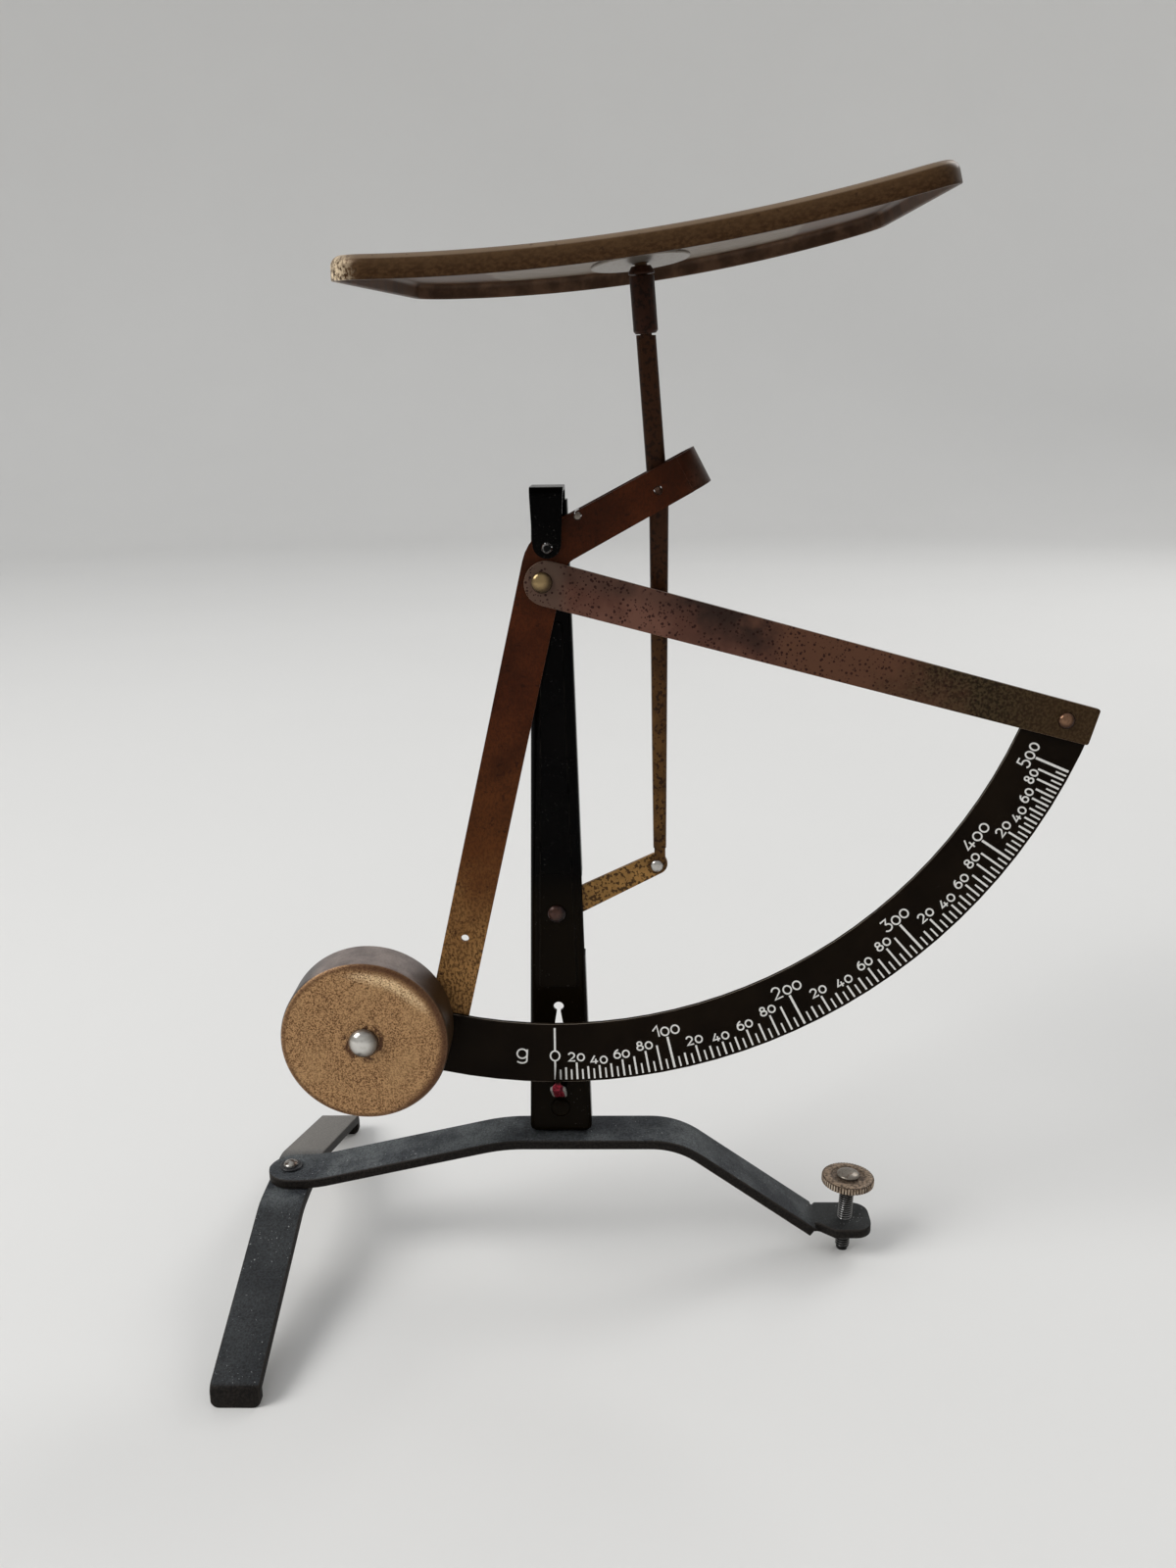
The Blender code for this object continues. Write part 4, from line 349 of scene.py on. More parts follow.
# Tray's finish: places in its own axes, from its middle
TRAY_GRAIN = (900, 1200, 1600)
TRAY_DRAWN = (150, 900, 400)
FLANGE_BAND = (-0.0032, -0.0012)
# Where the painted highlight along the rim's bend starts and is full
RIM_HIGHLIGHT_LINE = (-0.0006, -0.0002)
# Where the painted highlight on the tray's front corner lies
TRAY_HIGHLIGHT_END = (-0.0535, -0.0598)
TRAY_HIGHLIGHT_FRONT = (-0.034, -0.05)
FIELD_LENGTH = (0.0378, 0.0366)
FIELD_DEPTH = (0.0498, 0.0488)
FIELD_RAGGED = 0.004

# Rivets' and screw's finishes, as radii or parts of them
# Rivet domes: their painted highlight's centre, shifted up and left towards the light, and where their
# painted shade starts and is full
DOME_LIGHT_SHIFT = Vector((-0.0004, 0, 0.0005))
DOME_SHADE = (0.35, 1.05)
FOOT_RIVET_PAINT = (0.0018, 0.0021)
PIN_RIM_HIGHLIGHT = (0.0006, 0.0009)
# Where the painted highlight on the thread's crests starts and is full
THREAD_HIGHLIGHT = (0.7, 0.2)
HEAD_RING = (0.0051, 0.0046)
GROOVE_START = 0.0002
GROOVE_END = (0.00008, 0.00005)
# Where the knurl's crests are rubbed light, partly a painted highlight
KNURL_CREST_HIGHLIGHT = (0.0001, 0.00003)

# Camera and light
CAMERA_PLACE = (-0.008155, -0.336656, 0.226290)
CAMERA_YAW = -0.024158
CAMERA_PITCH = 0.265102
CAMERA_ROLL = -0.013066
CAMERA_LENS = 31.5
CAMERA_SENSOR = 36
CAMERA_NEAREST = 0.01
TARGET = Vector((0, 0, 0.13))
STAGE_PROFILE = ((0, 0, 0), (3.2, 0, 1.0), (3.2, 2.8, 0))
STAGE_SIDES = 96
WINDOW = {"place": (-1.9, -0.95, 1.75), "size": (1.4, 1.4), "power": 29, "beam": math.radians(140)}
REAR_GLOW = {"place": (1.2, 1.3, 1.4), "size": (0.9, 1.0), "power": 11, "beam": math.radians(180)}
SKY_COLOUR = (0.93, 0.96, 1, 1)
SKY_STRENGTH = 0.58


# Surfaces


def new_piece(name, points, faces, worn=None, merged=True):
    """A mesh object from an array of points and a list of faces, its doubles merged.

    Worn gives each face's share of wear, which the finishes read as the attribute "edge".
    """
    mesh = bpy.data.meshes.new(name)
    mesh.from_pydata(points.reshape(-1, 3), [], faces)
    if worn is not None:
        edge = mesh.attributes.new("edge", "FLOAT", "FACE")
        edge.data.foreach_set("value", np.asarray(worn, np.float32))
    bm = bmesh.new()
    bm.from_mesh(mesh)
    if merged:
        bmesh.ops.remove_doubles(bm, verts=bm.verts, dist=WELD)
        bmesh.ops.dissolve_degenerate(bm, edges=bm.edges, dist=WELD)
    bmesh.ops.recalc_face_normals(bm, faces=bm.faces)
    bm.to_mesh(mesh)
    bm.free()
    return placed(name, mesh)


def placed(name, data):
    """A new object in the scene that holds this mesh, lamp or camera."""
    obj = bpy.data.objects.new(name, data)
    bpy.context.scene.collection.objects.link(obj)
    return obj


def grid_faces(rows, columns, wrap_rows=False, wrap_columns=False):
    """Corner numbers of the squares of a grid, as one array."""
    i = np.arange(rows if wrap_rows else rows - 1)
    j = np.arange(columns if wrap_columns else columns - 1)
    i, j = np.meshgrid(i, j, indexing="ij")
    right = (j + 1) % columns
    here = i * columns
    below = (i + 1) % rows * columns
    return np.stack([here + j, here + right, below + right, below + j], -1).reshape(-1, 4)


def surface(name, points, wrap_rows=False, wrap_columns=False, capped=False, worn=None):
    """The surface through a grid of points. Capped: its first and last rows are closed with faces.

    Worn gives the wear of each column of faces.
    """
    rows, columns = points.shape[:2]
    faces = grid_faces(rows, columns, wrap_rows, wrap_columns).tolist()
    if worn is not None:
        worn = np.tile(worn, len(faces) // len(worn))
    if capped:
        last = (rows - 1) * columns
        faces += [list(range(columns)), list(range(last, last + columns))]
        worn = None if worn is None else np.append(worn, [0, 0])
    return new_piece(name, points, faces, worn)


def even_turns(sides):
    """Even angles all the way round, as an array."""
    return np.linspace(0, 2 * math.pi, sides, endpoint=False)


def ring_round(axis, turn):
    """The directions square to an axis at these angles round it, and the axis's own direction."""
    axis = Vector(axis).normalized()
    side = Vector(BACKWARDS) if abs(axis.y) < NEAR_Y else Vector(RIGHTWARDS)
    first = side.cross(axis).normalized()
    second = axis.cross(first)
    ring = np.cos(turn)[:, None] * np.array(first) + np.sin(turn)[:, None] * np.array(second)
    return ring, np.array(axis)


def turned(name, profile, place, axis, sides=ROUND_SIDES, closed=False):
    """A turned piece: point = place + radius (cos t, sin t) + height along the axis.

    The profile gives (radius, height) pairs. Closed: it runs back to its first pair, round a bore.
    """
    ring, along = ring_round(axis, even_turns(sides))
    profile = np.asarray(profile, float)
    points = np.array(place) + profile[:, None, :1] * ring + profile[:, None, 1:] * along
    return surface(name, points, wrap_rows=closed, wrap_columns=True)


def rounded_line(corners, step=ARC_STEP):
    """Straight runs whose corners (x, y, radius) are rounded with arcs, as an array of points."""
    points = []
    for i, (x, y, radius) in enumerate(corners):
        here = Vector((x, y))
        if not radius:
            points.append(np.array([here]))
            continue
        back = (Vector(corners[i - 1][:2]) - here).normalized()
        ahead = (Vector(corners[i + 1][:2]) - here).normalized()
        half = back.angle(ahead) / 2
        centre = here + (back + ahead).normalized() * (radius / math.sin(half))
        spoke = here + back * (radius / math.tan(half)) - centre
        sweep = math.copysign(math.pi - 2 * half, back.y * ahead.x - back.x * ahead.y)
        turn = math.atan2(spoke.y, spoke.x) + np.linspace(0, sweep, max(3, math.ceil(abs(sweep) / step)))
        points.append(np.array(centre) + spoke.length * np.stack([np.cos(turn), np.sin(turn)], -1))
    return np.concatenate(points)


def dome(radius, height, base):
    """Profile of a low dome from its top to its rim: radius sin t, height cos t."""
    t = np.linspace(0, QUARTER, DOME_STEPS)
    return np.stack([radius * np.sin(t), base + height * np.cos(t)], -1)


def distances(line):
    """How far each of a line's points lies along it."""
    return np.concatenate([[0], np.cumsum(np.linalg.norm(np.diff(line, axis=0), axis=1))])


def spread(line, extra):
    """A line with more points on it, at the extra distances along it."""
    along = distances(line)
    extra = np.clip(extra, 0, along[-1])
    near = np.abs(extra[:, None] - along).min(axis=1) < POINT_GAP
    wanted = np.unique(np.concatenate([along, extra[~near]]))
    return np.stack([np.interp(wanted, along, line[:, k]) for k in range(line.shape[1])], -1)


def end_width(distance, corner, half):
    """Half the width at a distance from an end whose corners are rounded."""
    reach = np.clip(corner - distance, 0, corner)
    return half - corner + np.sqrt(np.maximum(0, corner**2 - reach**2))


def strip(name, line, half_widths, across, thickness, edge):
    """Flat stock carried along a path: its section is a rectangle with rounded edges.

    The section's middle follows the line, its width lies along "across" and its thickness lies
    square to both. The two rows of half widths are those towards and against "across".
    """
    ahead = np.gradient(line, axis=0)
    ahead /= np.linalg.norm(ahead, axis=1, keepdims=True)
    across = np.array(across, float)
    normal = np.cross(ahead, across)
    quarter = np.stack([np.cos(EDGE_STEPS), np.sin(EDGE_STEPS)], -1) - 1
    rings, worn = [], []
    for wide_sign, high_sign, order in ((1, 1, 1), (-1, 1, -1), (-1, -1, 1), (1, -1, -1)):
        half = half_widths[0 if wide_sign > 0 else 1]
        rounding = np.minimum(edge, half * EDGE_SHARE)
        for corner in quarter[::order]:
            wide = wide_sign * (half + corner[0] * rounding)
            high = high_sign * (thickness / 2 + corner[1] * rounding)
            rings.append(line + wide[:, None] * across + high[:, None] * normal)
        worn += [1, 1, 1, 0]
    return surface(name, np.stack(rings, 1), wrap_columns=True, capped=True, worn=worn)


def refined(node, body, material, slot):
    """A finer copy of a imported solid: its triangles joined to flat faces, its sharp edges rounded.

    The rounded strips carry the attribute "edge", which the finishes read as wear.
    """
    bm = bmesh.new()
    bm.from_mesh(frame["nodes"][node].data)
    bmesh.ops.remove_doubles(bm, verts=bm.verts, dist=WELD)
    bmesh.ops.dissolve_limit(bm, angle_limit=FLAT_UNDER, verts=bm.verts, edges=bm.edges)
    worn = bm.faces.layers.float.new("edge")
    sharp = [e for e in bm.edges if e.is_manifold and e.calc_face_angle() > SMOOTH_UNDER]
    shape = {"offset": SHEET_EDGE, "offset_type": "OFFSET", "segments": 2, "profile": 0.5, "affect": "EDGES"}
    for face in bmesh.ops.bevel(bm, geom=sharp, clamp_overlap=True, **shape)["faces"]:
        face[worn] = 1
    bmesh.ops.triangulate(bm, faces=[f for f in bm.faces if len(f.verts) > 4])
    mesh = bpy.data.meshes.new(f"{node}_rounded")
    bm.to_mesh(mesh)
    bm.free()
    obj = placed(mesh.name, mesh)
    even = obj.modifiers.new("even_shading", "WEIGHTED_NORMAL")
    even.mode = "FACE_AREA"
    even.weight = FULL_WEIGHT
    return dress(obj, body, material, slot, node)


def dress(obj, body, material, slot, *nodes):
    """Give a finished piece its material, the solids it stands for, and its body. The slot is not used."""
    obj.data.materials.clear()
    obj.data.materials.append(material)
    obj.data.shade_smooth()
    if not obj.modifiers:
        obj.data.set_sharp_from_angle(angle=SMOOTH_UNDER)
    if nodes:
        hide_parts(*nodes)
    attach(obj, body)
    return obj


# Finishes


class Finish:
    """A material in the making: each call adds a node and gives the socket that comes out.

    Patterns are worth 0 to 1, their sizes are metres, and what they mix is a share of 0 to 1.
    """

    def __init__(self, name):
        self.material = bpy.data.materials.new(name)
        self.material.use_nodes = True
        self.tree = self.material.node_tree
        self.tree.nodes.clear()
        self.place = self.add("ShaderNodeTexCoord").outputs["Object"]
        self.x, self.y, self.z = self.axes(self.place)

    def add(self, kind, inputs=None, **settings):
        node = self.tree.nodes.new(kind)
        for name, value in settings.items():
            setattr(node, name, value)
        for name, value in (inputs or {}).items():
            if isinstance(value, bpy.types.NodeSocket):
                self.tree.links.new(value, node.inputs[name])
            else:
                node.inputs[name].default_value = value
        return node

    def axes(self, vector):
        return list(self.add("ShaderNodeSeparateXYZ", {"Vector": vector}).outputs)

    def math(self, operation, first, second=0.0, third=0.0):
        values = {0: first, 1: second, 2: third}
        return self.add("ShaderNodeMath", values, operation=operation).outputs[0]

    def plus(self, first, second):
        return self.math("ADD", first, second)

    def minus(self, first, second):
        return self.math("SUBTRACT", first, second)

    def both(self, first, second):
        return self.math("MULTIPLY", first, second)

    def either(self, first, second):
        return self.math("MAXIMUM", first, second)

    def vector(self, operation, first, second, output="Vector"):
        return self.add("ShaderNodeVectorMath", {0: first, 1: second}, operation=operation).outputs[output]

    def stretched(self, scale, turn=0.0, place=None):
        """A place scaled along the axes, after a turn in the lever's plane."""
        values = {"Vector": place or self.place, "Rotation": (0, turn, 0)}
        turned_place = self.add("ShaderNodeMapping", values).outputs[0]
        return self.add("ShaderNodeMapping", {"Vector": turned_place, "Scale": scale}).outputs[0]

    def noise(self, size, detail=2.0, rough=0.5, place=None):
        """Soft noise between 0 and 1 whose patches are about this size."""
        inputs = {"Vector": place or self.place, "Scale": 1 / size, "Detail": detail, "Roughness": rough}
        return self.add("ShaderNodeTexNoise", inputs).outputs["Fac"]

    def grains(self, size):
        """Distance from the nearest of many scattered points, 0 at a point and 1 a cell away."""
        inputs = {"Vector": self.place, "Scale": 1 / size}
        return self.add("ShaderNodeTexVoronoi", inputs).outputs["Distance"]

    def away(self, place, axis=BACKWARDS):
        """Distance from the line through a place along an axis."""
        axis = tuple(Vector(axis).normalized())
        apart = self.vector("SUBTRACT", self.place, tuple(place))
        along = self.vector("DOT_PRODUCT", apart, axis, output="Value")
        foot = self.add("ShaderNodeVectorMath", {0: axis, "Scale": along}, operation="SCALE").outputs[0]
        return self.vector("LENGTH", self.vector("SUBTRACT", apart, foot), (0, 0, 0), output="Value")

    def between(self, value, start, full):
        """0 up to the start, 1 from the full value on, smooth between them, in either direction."""
        inputs = {"Value": value, "From Min": start, "From Max": full}
        return self.add("ShaderNodeMapRange", inputs, interpolation_type="SMOOTHSTEP").outputs[0]

    def band(self, value, first_side, second_side):
        """1 inside both sides of a band, each side given as the pair where it starts and is full."""
        return self.both(self.between(value, *first_side), self.between(value, *second_side))

    def ragged(self, value, pattern, depth):
        """A value made uneven by a pattern, up to half the depth either way."""
        return self.plus(value, self.both(self.minus(pattern, 0.5), depth))

    def mix(self, share, first, second):
        """The first colour where the share is 0, the second where it is 1."""
        inputs = {0: share, 6: with_alpha(first), 7: with_alpha(second)}
        return self.add("ShaderNodeMix", inputs, data_type="RGBA").outputs[2]

    def blend(self, share, first, second):
        """The same as mix, for plain numbers."""
        return self.add("ShaderNodeMix", {0: share, 2: first, 3: second}, data_type="FLOAT").outputs[0]

    def over(self, colour, new, where, most):
        """A new colour laid over the old one in one place, covering at most this share of it."""
        return self.mix(self.both(where, most), colour, new)

    def worn_edges(self, patch=0.004, seldom=0.3):
        """The rubbed share of a piece's rounded edges: seldom is how much of them stays whole."""
        edge = self.add("ShaderNodeAttribute", attribute_name="edge").outputs["Fac"]
        return self.both(edge, self.between(self.noise(patch, 3), seldom, seldom + 0.2))

    def done(self, colour, roughness, metallic, height=None, depth=0.0001, specular=0.3):
        inputs = {"Base Color": with_alpha(colour), "Roughness": roughness, "Metallic": metallic}
        inputs["Specular IOR Level"] = specular
        if height is not None:
            bump = self.add("ShaderNodeBump", {"Height": height, "Distance": depth, "Strength": 0.6})
            inputs["Normal"] = bump.outputs[0]
        shader = self.add("ShaderNodeBsdfPrincipled", inputs)
        self.add("ShaderNodeOutputMaterial", {"Surface": shader.outputs[0]})
        return self.material


def with_alpha(colour):
    return colour if isinstance(colour, bpy.types.NodeSocket) else (*colour, 1)


def specks(f, size, cover=0.38, patch=0.007, empty=0.35):
    """Irregular spots in loose clouds: cover is how large they are, empty how bare the gaps."""
    spot = f.between(f.noise(size, 2.5, 0.55), 0.97 - cover, 1.03 - cover)
    return f.both(spot, f.between(f.noise(patch, 3), empty, empty + 0.2))


def dots(f, size, share, empty):
    """Round spots in loose clouds: share is a spot's radius in its cell, empty how bare the gaps."""
    spot = f.between(f.grains(size), share + 0.04, share - 0.04)
    return f.both(spot, f.between(f.noise(0.004, 3), empty, empty + 0.15))


def black_lacquer():
    """Glossy black with fine dust and rubbed edges, brown low down as a painted reflection of a table. The
    pointer's tip is red, with a painted highlight along its sides.
    """
    black, hazy = (0.0006, 0.0005, 0.0005), (0.0018, 0.0015, 0.0013)
    # brown is a painted reflection of a table, low down on the post
    brown, dusty, rubbed = (0.0048, 0.003, 0.0012), (0.08, 0.075, 0.07), (0.04, 0.034, 0.03)
    # lit_side_highlight is a painted highlight on the pointer's lit sides
    red, old_red, lit_side_highlight = (0.26, 0.02, 0.035), (0.05, 0.006, 0.01), (0.22, 0.215, 0.2)
    f = Finish("black_lacquer")
    dust = f.both(f.between(f.noise(0.0006, 2), 0.68, 0.74), f.between(f.noise(0.012), 0.48, 0.62))
    haze = f.noise(0.02, 4)
    colour = f.mix(f.between(haze, 0.4, 0.75), black, hazy)
    # Brown low down: a painted reflection of a table in the glossy black.
    colour = f.mix(f.between(f.z, LINK_PIVOT.z + TABLE_REFLECTION_HEIGHT, LINK_PIVOT.z), colour, brown)
    colour = f.over(colour, dusty, dust, 0.4)
    colour = f.over(colour, rubbed, f.worn_edges(0.006, 0.35), 0.5)
    proud = f.between(f.y, *(POST_FRONT - reach for reach in PAINT_PROUD))
    above = f.between(f.z, PAINT_LOW, PAINT_LOW + PAINT_FADE)
    below = f.between(f.z, *(DIAL_LOW.z + reach for reach in PAINT_UNDER_DIAL))
    painted = f.both(f.both(proud, above), below)
    side = f.between(f.math("ABSOLUTE", f.minus(f.x, FULCRUM.x)), *POINTER_HIGHLIGHT_SIDE)
    colour = f.mix(painted, colour, f.mix(f.between(f.noise(0.001, 3), 0.35, 0.6), red, old_red))
    # Painted highlight along the pointer's lit sides.
    colour = f.over(colour, lit_side_highlight, painted, side)
    rough = f.blend(f.noise(0.006, 3), 0.12, 0.26)
    return f.done(colour, rough, 0.0, f.noise(0.003, 3), 0.00002, specular=0.035)


def dial_enamel():
    """Satin brown-black, with faint slanting scuffs and a thin rubbed edge."""
    dark, hazy = (0.0042, 0.0022, 0.0008), (0.0085, 0.005, 0.0022)
    scuffed, rubbed = (0.045, 0.04, 0.034), (0.24, 0.2, 0.16)
    f = Finish("dial_enamel")
    haze = f.noise(0.015, 4)
    colour = f.mix(f.between(haze, 0.35, 0.75), dark, hazy)
    scuff = f.between(f.noise(0.003, 5, 0.7, f.stretched((1, 1, 3), 0.5)), 0.66, 0.76)
    colour = f.over(colour, scuffed, scuff, 0.25)
    colour = f.mix(f.worn_edges(0.003, 0.22), colour, rubbed)
    rough = f.blend(haze, 0.3, 0.46)
    return f.done(colour, rough, 0.0, f.noise(0.0012, 3), 0.00001, specular=0.045)


def dial_print():
    """White printing ink, slightly uneven."""
    f = Finish("dial_print")
    colour = f.mix(f.noise(0.0006, 3), (0.86, 0.85, 0.82), (0.56, 0.55, 0.52))
    return f.done(colour, 0.5, 0.0, f.noise(0.0003, 2), 0.00001)


def base_paint():
    """Blue-grey paint like fine sand, clouded lighter, with brown-black steep sides as painted shade and a
    bare rear toe.
    """
    dark_grains = (0.020, 0.0205, 0.0225), (0.047, 0.052, 0.058)
    light_grains = (0.049, 0.053, 0.054), (0.114, 0.123, 0.126)
    bare_grains = (0.12, 0.112, 0.1), (0.2, 0.186, 0.17)
    shaded_wall_grains = (0.0035, 0.0027, 0.0022), (0.017, 0.0135, 0.011)
    dull, glint, rubbed = (0.0165, 0.016, 0.0145), (0.34, 0.34, 0.34), (0.034, 0.027, 0.023)
    f = Finish("base_paint")
    sand = f.noise(0.00055, 3, 0.75)
    cloud = f.between(f.noise(0.014, 5, 0.65), 0.36, 0.66)
    depth = f.minus(f.y, FOOT_PIVOT.y)
    ahead = f.between(depth, *FRONT_DARK)
    dark = f.mix(f.between(sand, 0.36, 0.62), *dark_grains)
    light = f.mix(f.between(sand, 0.34, 0.6), *light_grains)
    colour = f.mix(f.both(cloud, f.blend(ahead, 1.0, 0.35)), dark, light)
    lug = f.between(f.minus(f.x, FULCRUM.x), *LUG_DARK)
    colour = f.over(colour, dull, f.either(f.both(ahead, 0.6), lug), 0.75)
    spark = f.both(f.between(f.noise(0.0006, 1), 0.7, 0.76), f.between(f.noise(0.008), 0.38, 0.58))
    colour = f.over(colour, glint, spark, 0.8)
    rear = f.between(depth, *REAR_BARE)
    foot_only = f.between(f.minus(f.x, FOOT_PIVOT.x), *FOOT_SIDE)
    colour = f.over(colour, f.mix(f.between(sand, 0.3, 0.65), *bare_grains), rear, foot_only)
    # Steep sides painted brown-black: painted shade.
    normal = f.add("ShaderNodeNewGeometry").outputs["Normal"]
    level = f.math("ABSOLUTE", f.axes(normal)[2])
    wall = f.mix(f.between(sand, 0.38, 0.66), *shaded_wall_grains)
    colour = f.mix(f.between(level, *SHADED_WALL_STEEPNESS), colour, wall)
    colour = f.over(colour, rubbed, f.worn_edges(0.003, 0.3), 0.5)
    return f.done(colour, f.blend(sand, 0.5, 0.7), 0.0, sand, 0.00007, specular=0.12)


def lever_brown():
    """Red-brown lacquer that turns to speckled gold down the long arm and to grey at the fork."""
    red, light_red, warm = (0.034, 0.008, 0.0024), (0.062, 0.0145, 0.004), (0.095, 0.031, 0.0075)
    gold, grey, dark = (0.31, 0.16, 0.055), (0.05, 0.03, 0.021), (0.018, 0.007, 0.0028)
    rusty, rubbed = (0.014, 0.005, 0.0025), (0.26, 0.15, 0.095)
    f = Finish("lever_brown")
    cloud = f.noise(0.011, 4, 0.6)
    down = f.ragged(f.minus(FULCRUM.z, f.z), cloud, LEVER_RAGGED)
    gilded = f.between(down, *LEVER_GOLD)
    colour = f.mix(f.between(cloud, 0.35, 0.65), red, light_red)
    colour = f.mix(f.between(down, *LEVER_WARM), colour, warm)
    colour = f.mix(gilded, colour, gold)
    colour = f.over(colour, grey, f.between(f.minus(f.x, FULCRUM.x), *FORK_GREY), 0.8)
    fine = f.between(f.noise(0.0006, 3, 0.7, f.stretched((1, 1, 0.6))), 0.46, 0.56)
    colour = f.over(colour, dark, fine, f.blend(gilded, 0.35, 0.75))
    colour = f.over(colour, rusty, specks(f, 0.0012, 0.36), 0.6)
    colour = f.over(colour, rubbed, f.worn_edges(0.005, 0.3), 0.9)
    return f.done(colour, f.blend(cloud, 0.3, 0.5), 0.2, f.either(fine, cloud), 0.00003, specular=0.08)


def arm_brown():
    """The scale arm: pinkish brown with rust specks, a dark stain, and olive towards the dial."""
    pink, light_pink, warm = (0.09, 0.038, 0.026), (0.145, 0.066, 0.046), (0.105, 0.046, 0.026)
    olive, light_olive, shade = (0.017, 0.0105, 0.004), (0.056, 0.037, 0.017), (0.034, 0.022, 0.016)
    grey, stained, rusty = (0.088, 0.058, 0.043), (0.018, 0.0115, 0.009), (0.016, 0.004, 0.003)
    brown_end, rubbed = (0.05, 0.025, 0.009), (0.25, 0.17, 0.12)
    f = Finish("arm_brown")
    right = f.minus(f.x, FULCRUM.x)
    cloud = f.noise(0.01, 4, 0.6)
    low = f.minus(f.minus(FULCRUM.z, f.z), f.math("MULTIPLY_ADD", right, ARM_FALL, ARM_DROP))
    along = f.ragged(right, cloud, ARM_RAGGED)
    colour = f.mix(f.between(cloud, 0.35, 0.65), pink, light_pink)
    colour = f.mix(f.between(along, *ARM_WARM), colour, warm)
    speckled_olive = f.mix(f.between(f.noise(0.0007, 3), 0.4, 0.6), olive, light_olive)
    colour = f.mix(f.between(along, *ARM_OLIVE), colour, speckled_olive)
    shaded = f.both(f.between(low, *ARM_SHADE_DEPTH), f.between(along, *ARM_SHADE))
    colour = f.over(colour, shade, shaded, 0.6)
    colour = f.over(colour, grey, f.between(right, *ARM_ROUND_END), 0.7)
    ragged_low = f.plus(low, f.both(cloud, STAIN_RAGGED))
    stain = f.both(f.band(along, STAIN_LEFT, STAIN_RIGHT), f.between(ragged_low, *STAIN_DEPTH))
    colour = f.over(colour, stained, stain, 0.85)
    rust = f.either(dots(f, 0.0012, 0.27, 0.28), dots(f, 0.0008, 0.25, 0.4))
    colour = f.over(colour, rusty, rust, f.blend(f.between(right, *ARM_RUST_FADE), 0.9, 0.5))
    colour = f.over(colour, brown_end, f.between(right, *ARM_DARK_END), 0.5)
    colour = f.over(colour, rubbed, f.worn_edges(0.006, 0.28), 0.85)
    skin = f.either(f.noise(0.0008, 3, 0.65), cloud)
    return f.done(colour, f.blend(cloud, 0.34, 0.52), 0.2, skin, 0.00003, specular=0.1)


def speckled_gold(name, light, dark, cover, head=None):
    """Gold lacquer densely spotted with dark rust. Head: the colour that it has up at the fulcrum."""
    f = Finish(name)
    cloud = f.noise(0.007, 4, 0.6)
    dim = tuple(channel * 0.55 for channel in light)
    bright = tuple(min(1, channel * 1.5) for channel in light)
    colour = f.mix(f.between(cloud, 0.35, 0.65), dim, light)
    if head:
        colour = f.mix(f.between(f.z, LINK_PIVOT.z + ROD_DARK_START, FULCRUM.z), colour, head)
    large = f.between(f.noise(0.0018, 3), 0.62, 0.7)
    rust = f.either(specks(f, 0.0009, cover, 0.005, 0.25), large)
    colour = f.over(colour, dark, rust, 0.85)
    colour = f.over(colour, bright, f.worn_edges(0.004, 0.3), 0.6)
    return f.done(colour, f.blend(cloud, 0.3, 0.5), 0.25, f.either(rust, cloud), 0.00004, specular=0.12)


